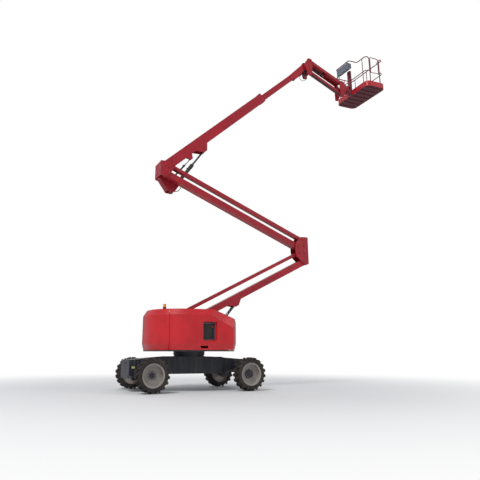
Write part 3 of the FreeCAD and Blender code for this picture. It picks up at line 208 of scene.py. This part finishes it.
def build_weathering():
    # slow shade changes, fine speckle, dust on what faces up, and bare metal along the edges
    group, given, out = shader_group("weathering", [
        ("Paint", "Color", (0.5, 0.5, 0.5, 1)), ("Dust", "Color", (*ROAD_DUST, 1)),
        ("Metal", "Color", (*BARE_STEEL, 1)), ("Dust Amount", "Float", 0.3), ("Wear", "Float", 0.3),
        ("Roughness", "Float", 0.4),
    ], [("Color", "Color"), ("Roughness", "Float"), ("Metallic", "Float"), ("Height", "Float")])
    spot = add_node(group, "TexCoord")
    slow = add_node(group, "TexNoise", Scale=1.7, Detail=4.0, Roughness=0.6)
    fine = add_node(group, "TexNoise", Scale=38.0, Detail=6.0, Roughness=0.65)
    streak = add_node(group, "TexNoise", Scale=9.0, Detail=5.0, Roughness=0.6)
    stretch = add_node(group, "Mapping")
    stretch.inputs["Scale"].default_value = (1.0, 1.0, 0.12)
    for texture in (slow, fine):
        group.links.new(spot.outputs["Object"], texture.inputs["Vector"])
    group.links.new(spot.outputs["Object"], stretch.inputs["Vector"])
    group.links.new(stretch.outputs["Vector"], streak.inputs["Vector"])
    shade = remap(group, slow.outputs["Fac"], 0.3, 0.7, 0.82, 1.12)
    light = add_node(group, "CombineColor")
    for channel in ("Red", "Green", "Blue"):
        group.links.new(shade, light.inputs[channel])
    toned = blend_colours(group, 1.0, given.outputs["Paint"], light.outputs["Color"], "MULTIPLY")
    # dust gathers on faces that look up and in slow streaks
    facing = add_node(group, "NewGeometry")
    parts = add_node(group, "SeparateXYZ")
    group.links.new(facing.outputs["Normal"], parts.inputs["Vector"])
    upward = remap(group, parts.outputs["Z"], -0.2, 1.0, 0.25, 1.0)
    patches = remap(group, streak.outputs["Fac"], 0.42, 0.72)
    dusty = add_node(group, "Math", [("operation", "MULTIPLY")])
    group.links.new(upward, dusty.inputs[0])
    group.links.new(patches, dusty.inputs[1])
    dusted = add_node(group, "Math", [("operation", "MULTIPLY")])
    group.links.new(dusty.outputs["Value"], dusted.inputs[0])
    group.links.new(given.outputs["Dust Amount"], dusted.inputs[1])
    covered = blend_colours(group, dusted.outputs["Value"], toned, given.outputs["Dust"])
    # an edge is where a rounded normal leaves the true one
    rounded = add_node(group, "Bevel", [("samples", 4)], Radius=0.004)
    turn = add_node(group, "VectorMath", [("operation", "DOT_PRODUCT")])
    group.links.new(rounded.outputs["Normal"], turn.inputs[0])
    group.links.new(facing.outputs["Normal"], turn.inputs[1])
    edge = remap(group, turn.outputs["Value"], 0.995, 0.80)
    chips = remap(group, fine.outputs["Fac"], 0.54, 0.66)
    worn = add_node(group, "Math", [("operation", "MULTIPLY")])
    group.links.new(edge, worn.inputs[0])
    group.links.new(chips, worn.inputs[1])
    bare = add_node(group, "Math", [("operation", "MULTIPLY"), ("use_clamp", True)])
    group.links.new(worn.outputs["Value"], bare.inputs[0])
    group.links.new(given.outputs["Wear"], bare.inputs[1])
    group.links.new(blend_colours(group, bare.outputs["Value"], covered, given.outputs["Metal"]),
                    out.inputs["Color"])
    uneven = remap(group, fine.outputs["Fac"], 0.3, 0.7, -0.06, 0.08)
    rough = add_node(group, "Math", [("operation", "ADD")])
    group.links.new(given.outputs["Roughness"], rough.inputs[0])
    group.links.new(uneven, rough.inputs[1])
    rougher = add_node(group, "Math", [("operation", "MULTIPLY_ADD"), ("use_clamp", True)])
    group.links.new(dusted.outputs["Value"], rougher.inputs[0])
    rougher.inputs[1].default_value = 0.4
    group.links.new(rough.outputs["Value"], rougher.inputs[2])
    group.links.new(rougher.outputs["Value"], out.inputs["Roughness"])
    group.links.new(bare.outputs["Value"], out.inputs["Metallic"])
    group.links.new(fine.outputs["Fac"], out.inputs["Height"])
    return group


weathering = build_weathering()


def coated(name, colour, roughness, dust=0.3, wear=0.3, coat=0.0, grain=0.0006, metallic=0.0):
    # a painted, plated or moulded finish that has been out in the weather
    material = bpy.data.materials.new(name)
    tree, shader = nodes_of(material)
    surface = tree.nodes.new("ShaderNodeGroup")
    surface.node_tree = weathering
    surface.inputs["Paint"].default_value = (*colour, 1)
    surface.inputs["Dust Amount"].default_value = dust
    surface.inputs["Wear"].default_value = wear
    surface.inputs["Roughness"].default_value = roughness
    tree.links.new(surface.outputs["Color"], shader.inputs["Base Color"])
    tree.links.new(surface.outputs["Roughness"], shader.inputs["Roughness"])
    if metallic:
        shader.inputs["Metallic"].default_value = metallic
    else:
        tree.links.new(surface.outputs["Metallic"], shader.inputs["Metallic"])
    if coat:
        shader.inputs["Coat Weight"].default_value = coat
        shader.inputs["Coat Roughness"].default_value = 0.08
    bump = add_node(tree, "Bump", Strength=0.5, Distance=grain)
    tree.links.new(surface.outputs["Height"], bump.inputs["Height"])
    tree.links.new(bump.outputs["Normal"], shader.inputs["Normal"])
    return material


def turned(shape, profile, place, axis, steps=28):
    # adds a turned form: the profile runs along the axis as (distance, radius)
    turn = Vector(axis).to_track_quat("Z", "Y").to_matrix()
    rings = []
    for along, radius in profile:
        angles = [2 * math.pi * i / steps for i in range(steps if radius else 1)]
        rings.append([shape.verts.new(Vector(place) + turn @ Vector(
            (radius * math.cos(a), radius * math.sin(a), along))) for a in angles])
    for first, second in zip(rings, rings[1:]):
        for i in range(steps):
            j = (i + 1) % steps
            corners = [first[i % len(first)], first[j % len(first)], second[j % len(second)],
                       second[i % len(second)]]
            shape.faces.new(list(dict.fromkeys(corners)))


def piece(name, shape, material, body, slot, angle=35):
    # ends a form as an object that moves with its body
    bmesh.ops.recalc_face_normals(shape, faces=shape.faces)
    mesh = bpy.data.meshes.new(name)
    shape.to_mesh(mesh)
    shape.free()
    mesh.materials.append(material)
    for polygon in mesh.polygons:
        polygon.use_smooth = True
    mesh.set_sharp_from_angle(angle=math.radians(angle))
    obj = link(bpy.data.objects.new(name, mesh))
    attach(obj, body)
    return obj


hose_rubber = coated("hose_rubber", HOSE_GREY, 0.6, dust=0.3, wear=0.0, grain=0.001)
fitting_steel = coated("fitting_steel", FITTING_GREY, 0.4, dust=0.3, wear=0.3)
for hose_name, (body, route, y, radius, length, plate_y) in HOSES.items():
    line = bpy.data.curves.new(hose_name, "CURVE")
    line.dimensions = "3D"
    line.bevel_depth = radius
    line.bevel_resolution = 6
    line.use_fill_caps = True
    run = line.splines.new("NURBS")
    run.points.add(len(route) - 1)
    for point, (x, z) in zip(run.points, route):
        point.co = (x, y, z, 1)
    run.order_u = 3
    run.use_endpoint_u = True
    line.resolution_u = 16
    line.materials.append(hose_rubber)
    hose = link(bpy.data.objects.new(hose_name, line))
    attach(hose, body)
    clamps = bmesh.new()
    for end, near in ((route[0], route[1]), (route[-1], route[-2])):
        way = Vector((near[0] - end[0], 0, near[1] - end[1])).normalized()
        foot = Vector((end[0], plate_y, end[1]))
        reach = y - plate_y
        outward = 1 if reach > 0 else -1
        turned(clamps, [(-0.001, 0), (-0.001, radius + 0.006), (0.004, radius + 0.003),
                        (abs(reach) + radius + 0.004, radius + 0.003), (abs(reach) + radius + 0.006, 0)],
               foot, (0, outward, 0))
        turned(clamps, [(0, 0), (0, radius + 0.004), (0.012, radius + 0.004), (0.014, radius + 0.0015),
                        (0.018, radius + 0.0035), (0.034, radius + 0.003), (0.037, radius - 0.001)],
               (end[0], y, end[1]), way)
    fittings = piece(hose_name + "_clamps", clamps, fitting_steel, body, "cylinder_black")


# The chassis is a welded steel box in a nearly black blue paint, with a bolted plate at each end.
# The axles, knuckles and tie rod carry the same paint, thin at the edges and dull with road dust.

FRAME_BLACK = (0.016, 0.019, 0.030)


def dress(material, *names, angle=32):
    # gives a finish to the frame's own pieces and smooths their curved faces
    for name in names:
        piece = nodes[name]
        piece.data.materials.clear()
        piece.data.materials.append(material)
        for polygon in piece.data.polygons:
            polygon.use_smooth = True
        piece.data.set_sharp_from_angle(angle=math.radians(angle))


frame_paint = coated("frame_black", FRAME_BLACK, 0.42, dust=0.55, wear=0.35)
dress(frame_paint, "chassis_frame", "fixed_axle", "steer_axle", "steer_knuckle_near", "steer_knuckle_far",
      "tie_rod", "slew_ring", "turntable_frame")


# Three slanted slots are cut in the steered end's plate, which closes the box of the frame.
# They stand here as thin patches of painted shade on the plate's face.

END_PLATE_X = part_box("chassis_frame")[0][0]
SLOTS_Y = (-0.12, 0.0, 0.12)
SLOT_HALF = 0.045
SLOT_Z = (0.694, 0.716)
SLOT_SLANT = 0.32
# painted shade for the insides of the slots and the hole
HOLE_SHADE_BLACK = (0.004, 0.004, 0.005)


def bar(shape, low, high, edge=0.002, turn=None):
    # adds a bar with softened edges between two corners, turned about its middle if asked
    low, high = Vector(low), Vector(high)
    middle, size = (low + high) / 2, high - low
    made = bmesh.ops.create_cube(shape, size=1.0)["verts"]
    for corner in made:
        corner.co = Vector(a * b for a, b in zip(corner.co, size))
        if turn:
            corner.co = turn @ corner.co
        corner.co += middle
    edges = list({e for corner in made for e in corner.link_edges})
    bmesh.ops.bevel(shape, geom=edges, offset=edge, segments=2, affect="EDGES", profile=0.5)


hole_shade = coated("painted_hole_shade", HOLE_SHADE_BLACK, 0.9, dust=0.1, wear=0.0)
plate_slots = bmesh.new()
for y in SLOTS_Y:
    slot_low = (END_PLATE_X - 0.0003, y - SLOT_HALF, SLOT_Z[0])
    slot_high = (END_PLATE_X + 0.003, y + SLOT_HALF, SLOT_Z[1])
    bar(plate_slots, slot_low, slot_high, 0.0002, Matrix.Rotation(SLOT_SLANT, 3, "X"))
piece("end_plate_slots", plate_slots, hole_shade, "chassis", "frame_dark")


# Two square lamps with yellowed lenses are screwed to the steered end.
# A narrow black frame holds each lens.

LENS_YELLOW = (0.62, 0.52, 0.24)
FRAME_W = 0.010

lens_paint = coated("lamp_lens", LENS_YELLOW, 0.25, dust=0.3, wear=0.0, coat=0.6)
dress(lens_paint, "chassis_lamp_near", "chassis_lamp_far")
bezels = bmesh.new()
for side in ("near", "far"):
    low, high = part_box("chassis_lamp_" + side)
    front, back = low[0] - 0.003, low[0] + 0.006
    edges = ((low[1], high[1], high[2] - FRAME_W, high[2]), (low[1], high[1], low[2], low[2] + FRAME_W),
             (low[1], low[1] + FRAME_W, low[2], high[2]), (high[1] - FRAME_W, high[1], low[2], high[2]))
    for y0, y1, z0, z1 in edges:
        bar(bezels, (front, y0, z0), (back, y1, z1), 0.0015)
piece("lamp_bezels", bezels, frame_paint, "chassis", "frame_dark")


# Four wide all-terrain tyres of dark rubber, browned with dry soil.
# The dished steel wheels in them are painted a warm pale grey and held by ten bolts.

TYRE_RUBBER = (0.022, 0.017, 0.014)
RIM_PAINT = (0.40, 0.36, 0.33)
WHEELS = ("steer_near", "steer_far", "fixed_near", "fixed_far")

tyre_rubber = coated("tyre_rubber", TYRE_RUBBER, 0.85, dust=0.35, wear=0.0, grain=0.002)
rim_paint = coated("rim_paint", RIM_PAINT, 0.45, dust=0.5, wear=0.5)
for wheel in WHEELS:
    dress(tyre_rubber, "tyre_" + wheel)
    dress(rim_paint, "rim_" + wheel)


# The hub's cap and a ring of ten studs with nuts stand on the wheel's disc.
# They are steel in a near-black finish, dusted, and the nuts press on round washers.

# distances of the faces from the machine's middle
DISC_FACE = 1.005
CAP_FACE = {"steer": 1.035, "fixed": 1.067}
CAP_R = {"steer": 0.068, "fixed": 0.096}
STUDS = 10
STUD_CIRCLE = {"steer": 0.104, "fixed": 0.109}
NUT_R = 0.0105
NUT_H = 0.020
HUB_BLACK = (0.020, 0.022, 0.030)


def bolt(shape, place, axis, radius=0.011, height=0.009):
    # adds a hexagonal head on a round washer
    washer = [(-0.002, 0), (-0.002, radius * 1.35), (0.002, radius * 1.35), (0.002, radius)]
    head = [(0.002, radius), (height, radius), (height + 0.0015, radius * 0.86), (height + 0.0015, 0)]
    turned(shape, washer, place, axis, 20)
    turned(shape, head, place, axis, 6)


hub_black = coated("hub_black", HUB_BLACK, 0.4, dust=0.35, wear=0.2)
for wheel in WHEELS:
    kind, side = wheel.split("_")
    out = -1 if side == "near" else 1
    low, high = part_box("tyre_" + wheel)
    x, z = (low[0] + high[0]) / 2, (low[2] + high[2]) / 2
    axis = (0, out, 0)
    circle, cap = STUD_CIRCLE[kind], CAP_R[kind]
    hub = bmesh.new()
    for i in range(STUDS):
        turn = 2 * math.pi * (i + 0.5) / STUDS
        spot = (x + circle * math.cos(turn), out * DISC_FACE, z + circle * math.sin(turn))
        bolt(hub, spot, axis, NUT_R, NUT_H)
        turned(hub, [(0.018, 0.006), (0.030, 0.006), (0.031, 0.005), (0.031, 0)], spot, axis, 12)
    turned(hub, [(0.0, cap + 0.001), (0.0, cap + 0.008), (0.005, cap + 0.006), (0.006, cap + 0.001)],
           (x, out * DISC_FACE, z), axis, 40)
    turned(hub, [(-0.002, cap - 0.001), (0.003, cap - 0.002), (0.005, cap * 0.8), (0.004, cap * 0.62),
                 (0.007, cap * 0.55), (0.009, cap * 0.3), (0.009, 0)], (x, out * CAP_FACE[kind], z), axis, 40)
    piece("hub_" + wheel, hub, hub_black, "wheel_" + wheel, "rim")


# The covers are moulded panels in a glossy bright red, one over the tail and one along each side.
# The side covers hang on hinges at the top and leave a window over the ground controls.

COVER_RED = (0.60, 0.007, 0.014)
MASS_GREY = (0.03, 0.03, 0.034)
BOX_GREY = (0.13, 0.15, 0.20)

cover_paint = coated("cover_red", COVER_RED, 0.38, dust=0.10, wear=0.1, coat=0.2)
dress(cover_paint, "tail_cover", "side_door_near", "side_door_far")
dark_mass = coated("cast_mass", MASS_GREY, 0.7, dust=0.4, wear=0.2, grain=0.002)
dress(dark_mass, "counterweight", "battery_block", "power_unit_block")
grey_plastic = coated("grey_plastic", BOX_GREY, 0.5, dust=0.35, wear=0.0)
dress(grey_plastic, "ground_controls", "control_console")


# The ground controls sit behind the window: a black sheet front with two rows of toggles, a small screen
# and a red stop button. A rubber strip edges the window in the door.

PANEL_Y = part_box("ground_controls")[0][1]
TOGGLE_ROWS = (1.350, 1.430)
TOGGLES_X = (0.060, 0.115, 0.170, 0.225)
RECESS_FLOOR_Y = -1.055
BUTTON_RED = (0.55, 0.01, 0.012)
DARK_PLASTIC = (0.012, 0.012, 0.014)

button_red = coated("button_red", BUTTON_RED, 0.3, dust=0.1, wear=0.0, coat=0.4)
dark_plastic = coated("dark_plastic", DARK_PLASTIC, 0.4, dust=0.2, wear=0.0)
front = bmesh.new()
bar(front, (0.020, PANEL_Y - 0.004, 1.285), (0.300, PANEL_Y + 0.001, 1.655), 0.0015)
bar(front, (0.060, PANEL_Y - 0.010, 1.540), (0.190, PANEL_Y, 1.630), 0.003)
for row in TOGGLE_ROWS:
    for x in TOGGLES_X:
        turned(front, [(0, 0.010), (0.004, 0.010), (0.005, 0.005), (0.022, 0.0035), (0.024, 0)],
               (x, PANEL_Y - 0.004, row), (0, -1, 0), 16)
piece("control_front", front, dark_plastic, "turntable", "console_grey")
stop = bmesh.new()
turned(stop, [(0, 0.010), (0.012, 0.010), (0.014, 0.019), (0.020, 0.020), (0.025, 0.014), (0.026, 0)],
       (0.250, PANEL_Y - 0.004, 1.585), (0, -1, 0))
piece("ground_stop_button", stop, button_red, "turntable", "console_grey")
trim = bmesh.new()
for x0, x1, z0, z1 in ((-0.006, 0.316, 1.256, 1.266), (-0.006, 0.316, 1.681, 1.691),
                       (-0.006, 0.004, 1.256, 1.691), (0.306, 0.316, 1.256, 1.691)):
    bar(trim, (x0, RECESS_FLOOR_Y - 0.006, z0), (x1, RECESS_FLOOR_Y + 0.004, z1), 0.003)
piece("window_trim", trim, dark_plastic, "side_door_near", "console_grey")


# The beacon is a moulded orange lens on a black base, screwed to the top of the tail cover.
# One solid holds both, so the colour changes at the top of the base.

BEACON_ORANGE = (0.72, 0.25, 0.02)
BASE_TOP_Z = 2.075

amber = coated("beacon_amber", BEACON_ORANGE, 0.2, dust=0.1, wear=0.0, coat=0.8)
tree, shader = nodes_of(amber)
spot = add_node(tree, "TexCoord")
split = add_node(tree, "SeparateXYZ")
tree.links.new(spot.outputs["Object"], split.inputs["Vector"])
lens = remap(tree, split.outputs["Z"], BASE_TOP_Z - 0.0005, BASE_TOP_Z + 0.0005)
tinted = shader.inputs["Base Color"].links[0].from_socket
tree.links.new(blend_colours(tree, lens, (*DARK_PLASTIC, 1), tinted), shader.inputs["Base Color"])
dress(amber, "beacon")


# The riser's arms, links and frames are welded box sections and plates in a deeper crimson paint.
# Each turns on steel pins between the plates, and the boom on its top carries the same paint.

ARM_RED = (0.36, 0.006, 0.018)

arm_paint = coated("arm_crimson", ARM_RED, 0.45, dust=0.10, wear=0.25)
dress(arm_paint, "lower_arm", "lower_link", "elbow_frame", "upper_arm", "upper_link", "knuckle_frame",
      "main_boom", "fly_boom", "jib_base", "jib_arm", "jib_lower_arm", "platform_mount")


# Each pin is kept by a turned ring and a dished cap on the outer faces of the elbow and the knuckle.
# The elbow also has a small plate, left blank, and a drilled hole drawn as a thin disc of painted shade.

NEAR_FACE = -0.295
FAR_FACE = 0.290
BLANK_LOW, BLANK_HIGH = (3.551, 3.811), (3.631, 4.005)
BLANK_SLANT = 0.40
# places of the pins along X and up, and the side of the face
PINS = {
    "elbow": [((3.5602, 3.5876), -1), ((3.4252, 3.8676), -1), ((3.3802, 4.0671), -1),
              ((3.5552, 4.2961), -1)],
    "knuckle": [((-0.8698, 5.8711), -1), ((-0.6948, 6.1001), -1), ((-0.8148, 6.0651), 1)],
}
for body, pins in PINS.items():
    keepers = bmesh.new()
    for (x, z), side in pins:
        face = NEAR_FACE if side < 0 else FAR_FACE
        turned(keepers, [(-0.001, 0.030), (-0.001, 0.047), (0.006, 0.046), (0.007, 0.031)], (x, face, z),
               (0, side, 0), 32)
        turned(keepers, [(0.002, 0.0305), (0.009, 0.0290), (0.010, 0.012), (0.008, 0.010), (0.008, 0)],
               (x, face, z), (0, side, 0), 32)
    piece(body + "_pin_keepers", keepers, arm_paint, body, "arm_red")
blank = bmesh.new()
bar(blank, (BLANK_LOW[0], NEAR_FACE - 0.002, BLANK_LOW[1]), (BLANK_HIGH[0], NEAR_FACE + 0.001, BLANK_HIGH[1]),
    0.001, Matrix.Rotation(BLANK_SLANT, 3, "Y"))
piece("elbow_blank_plate", blank, arm_paint, "elbow", "arm_red")
# the drilled hole is a thin disc of painted shade
hole = bmesh.new()
turned(hole, [(0, 0), (0.0008, 0.020), (0.001, 0)], (3.562, NEAR_FACE, 4.088), (0, -1, 0))
piece("elbow_hole", hole, hole_shade, "elbow", "arm_red")


# Wear pads of nylon guide the sliding section in the boom's mouth.
# Four bolts on each side wall hold them, and their heads show.

BOOM_PIVOT = Vector((-0.8148, 0.150, 6.0651))
BOOM_TILT = math.radians(41.7)
BOOM_HALF_W = 0.110
PAD_BOLT_R = 0.012
PAD_BOLT_H = 0.010


def on_boom(along, up, y):
    # a point by its place along and across the boom
    return (BOOM_PIVOT.x + along * math.cos(BOOM_TILT) - up * math.sin(BOOM_TILT), y,
            BOOM_PIVOT.z + along * math.sin(BOOM_TILT) + up * math.cos(BOOM_TILT))


pad_bolts = bmesh.new()
for along in (4.300, 4.380):
    for up in (0.0, 0.150):
        for side in (-1, 1):
            spot = on_boom(along, up, BOOM_PIVOT.y + side * BOOM_HALF_W)
            bolt(pad_bolts, spot, (0, side, 0), PAD_BOLT_R, PAD_BOLT_H)
piece("wear_pad_bolts", pad_bolts, fitting_steel, "main_boom", "arm_red")


# A black valve block with two hexagonal fittings is bolted inside the fork at the boom's tip.
# It turns with the jib's bracket and clears the hose clamps below it.

VALVE_LOW, VALVE_HIGH = (4.100, 0.068, 10.325), (4.220, 0.102, 10.475)
VALVE_PORTS_Z = (10.375, 10.425)
port = [(0, 0.014), (0.012, 0.014), (0.014, 0.010), (0.024, 0.010), (0.025, 0)]

valve = bmesh.new()
bar(valve, VALVE_LOW, VALVE_HIGH, 0.004)
for z in VALVE_PORTS_Z:
    turned(valve, port, (4.101, 0.085, z), (-1, 0, 0), 6)
piece("tip_valve_block", valve, dark_plastic, "jib_base", "cylinder_black")


# Five hydraulic cylinders: honed tubes in black paint, and dark polished rods.
# On four of them a screwed gland closes the tube, and two ports stand on it for the hoses.

CYLINDER_BLACK = (0.014, 0.014, 0.017)
ROD_DARK = (0.15, 0.15, 0.16)
# base, rod's eye, distance from the middle plane, tube radius, rod radius, tube length, gland past the tube
CYLINDERS = {
    "riser": ((0.350, 1.120), (1.3006, 2.2601), -0.140, 0.062, 0.039, 1.045, 0.0),
    "lift": ((-0.600, 5.475), (0.3981, 6.8685), 0.160, 0.055, 0.030, 1.000, 0.106),
    "level": ((-0.560, 5.880), (-0.0331, 6.5406), 0.072, 0.026, 0.014, 0.540, 0.0),
    "slave": ((3.7298, 10.074), (4.1305, 10.3999), 0.150, 0.028, 0.015, 0.370, 0.0),
}

cylinder_black = coated("cylinder_black", CYLINDER_BLACK, 0.35, dust=0.3, wear=0.2)
rod_chrome = coated("rod_chrome", ROD_DARK, 0.20, dust=0.15, wear=0.0, metallic=1.0, grain=0.0001)
for cylinder in ("riser", "lift", "level", "jib", "slave"):
    dress(cylinder_black, cylinder + "_cylinder_barrel")
    dress(rod_chrome, cylinder + "_cylinder_rod")
for cylinder, (base, top, y, tube_r, rod_r, tube, gland) in CYLINDERS.items():
    way = Vector((top[0] - base[0], 0, top[1] - base[1])).normalized()
    across = Vector((-way.z, 0, way.x))
    foot = Vector((base[0], y, base[1]))
    ends = bmesh.new()
    mouth = foot + way * tube
    collar = [(-0.036, tube_r - 0.001), (-0.035, tube_r + 0.005), (gland - 0.006, tube_r + 0.005),
              (gland - 0.001, tube_r)]
    if gland:
        collar += [(gland, rod_r + 0.003), (gland + 0.004, rod_r + 0.002), (gland + 0.004, rod_r + 0.0005)]
    else:
        collar += [(-0.001, tube_r - 0.001)]
    turned(ends, collar, mouth, way, 40)
    for along in (0.16 * tube, 0.90 * tube):
        root = foot + way * along + across * (tube_r - 0.004)
        stub = [(0, 0.016), (0.012, 0.016), (0.014, 0.012), (0.030, 0.012), (0.031, 0)]
        turned(ends, stub, root, across, 6)
    piece(cylinder + "_cylinder_ends", ends, cylinder_black, cylinder + "_barrel", "cylinder_black")
dress(cylinder_black, "jib_level_rod")


# The platform is a cage of bent steel tube round a floor of open mesh, in the red paint darkened to a dull
# maroon as painted shade.
# A folded toe board, welded round its foot, keeps a brighter red with no painted shade.

# the platform's red with painted shade mixed in; the toe board's red below has none
PLATFORM_RED_IN_SHADE = (0.17, 0.010, 0.022)
TOE_RED = (0.46, 0.006, 0.016)

shaded_platform_paint = coated("platform_maroon", PLATFORM_RED_IN_SHADE, 0.45, dust=0.3, wear=0.4)
dress(shaded_platform_paint, "platform_support", "platform_rails", "platform_gate")
toe_paint = coated("toe_board_red", TOE_RED, 0.42, dust=0.10, wear=0.2)
dress(toe_paint, "toe_board")


# The floor is open expanded steel mesh on seven cross ribs, welded to the frame.
# Here it is a closed plate, and its finish draws the openings as dark diamonds of painted shade between thin
# strands in the platform's shaded red.

RIB_COUNT = 7
RIB_HALF = 0.010
# painted shade standing in for what is seen through the mesh's openings
CELL_SHADE = (0.012, 0.003, 0.005)
CELLS_PER_METRE = 26.0

shaded_mesh_paint = coated("mesh_floor_painted_shade", PLATFORM_RED_IN_SHADE, 0.5, dust=0.3, wear=0.2)
tree, shader = nodes_of(shaded_mesh_paint)
spot = add_node(tree, "TexCoord")
diamonds = add_node(tree, "Mapping")
diamonds.inputs["Rotation"].default_value = (0, 0, math.radians(45))
diamonds.inputs["Scale"].default_value = (1.0, 1.0, 0.0)
tree.links.new(spot.outputs["Object"], diamonds.inputs["Vector"])
cells = add_node(tree, "TexVoronoi", [("distance", "CHEBYCHEV")], Scale=CELLS_PER_METRE, Randomness=0.0)
tree.links.new(diamonds.outputs["Vector"], cells.inputs["Vector"])
cell_shade_mask = remap(tree, cells.outputs["Distance"], 0.34, 0.38, 1.0, 0.0)
strand = shader.inputs["Base Color"].links[0].from_socket
tree.links.new(blend_colours(tree, cell_shade_mask, strand, (*CELL_SHADE, 1)), shader.inputs["Base Color"])
dress(shaded_mesh_paint, "platform_floor")
low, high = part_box("platform_floor")
ribs = bmesh.new()
for i in range(RIB_COUNT):
    y = low[1] + (high[1] - low[1]) * (i + 0.5) / RIB_COUNT
    bar(ribs, (low[0] + 0.03, y - RIB_HALF, low[2] - 0.022), (high[0] - 0.03, y + RIB_HALF, low[2] + 0.002))
piece("floor_ribs", ribs, shaded_platform_paint, "platform", "platform_maroon")


# The platform's console is a folded sheet box that hangs under the rail.
# Two joysticks in rubber boots and a row of toggles stand on its top.

JOYSTICKS_AT = (0.25, 0.75)
TOGGLES_AT = (0.40, 0.46, 0.52, 0.58)
joystick = [
    (-0.002, 0.030), (0.006, 0.030), (0.010, 0.022), (0.016, 0.024), (0.022, 0.015), (0.028, 0.016),
    (0.032, 0.007), (0.044, 0.007), (0.047, 0.013), (0.058, 0.014), (0.063, 0.010), (0.064, 0),
]
toggle = [(-0.001, 0.009), (0.004, 0.009), (0.005, 0.005), (0.020, 0.003), (0.022, 0)]


def seat(node, start, way):
    # the first point of a CAD node that a straight line from start meets
    met, spot, normal, face = nodes[node].ray_cast(Vector(start), Vector(way))
    if not met:
        raise RuntimeError(node + " isn't met from " + str(tuple(start)))
    return spot


bpy.context.view_layer.update()
low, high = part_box("control_console")
controls = bmesh.new()
for shares, form, steps in ((JOYSTICKS_AT, joystick, 24), (TOGGLES_AT, toggle, 16)):
    for share in shares:
        y = low[1] + (high[1] - low[1]) * share
        spot = seat("control_console", ((low[0] + high[0]) / 2, y, high[2] + 0.2), (0, 0, -1))
        turned(controls, form, spot, (0, 0, 1), steps)
piece("console_controls", controls, dark_plastic, "platform", "console_grey")


# A sprung latch of turned steel with a round black knob holds the gate shut.
# It is screwed to the gate's own tube and moves with it.

LATCH_SHARE = 0.72

low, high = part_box("platform_gate")
latch = bmesh.new()
latch_z = low[2] + LATCH_SHARE * (high[2] - low[2])
turned(latch, [(0, 0), (0.002, 0.012), (0.030, 0.013), (0.034, 0.007), (0.060, 0.007), (0.062, 0)],
       (high[0] - 0.05, low[1] + 0.017, latch_z), (-1, 0, 0), 20)
piece("gate_latch", latch, dark_plastic, "platform_gate", "platform_maroon")
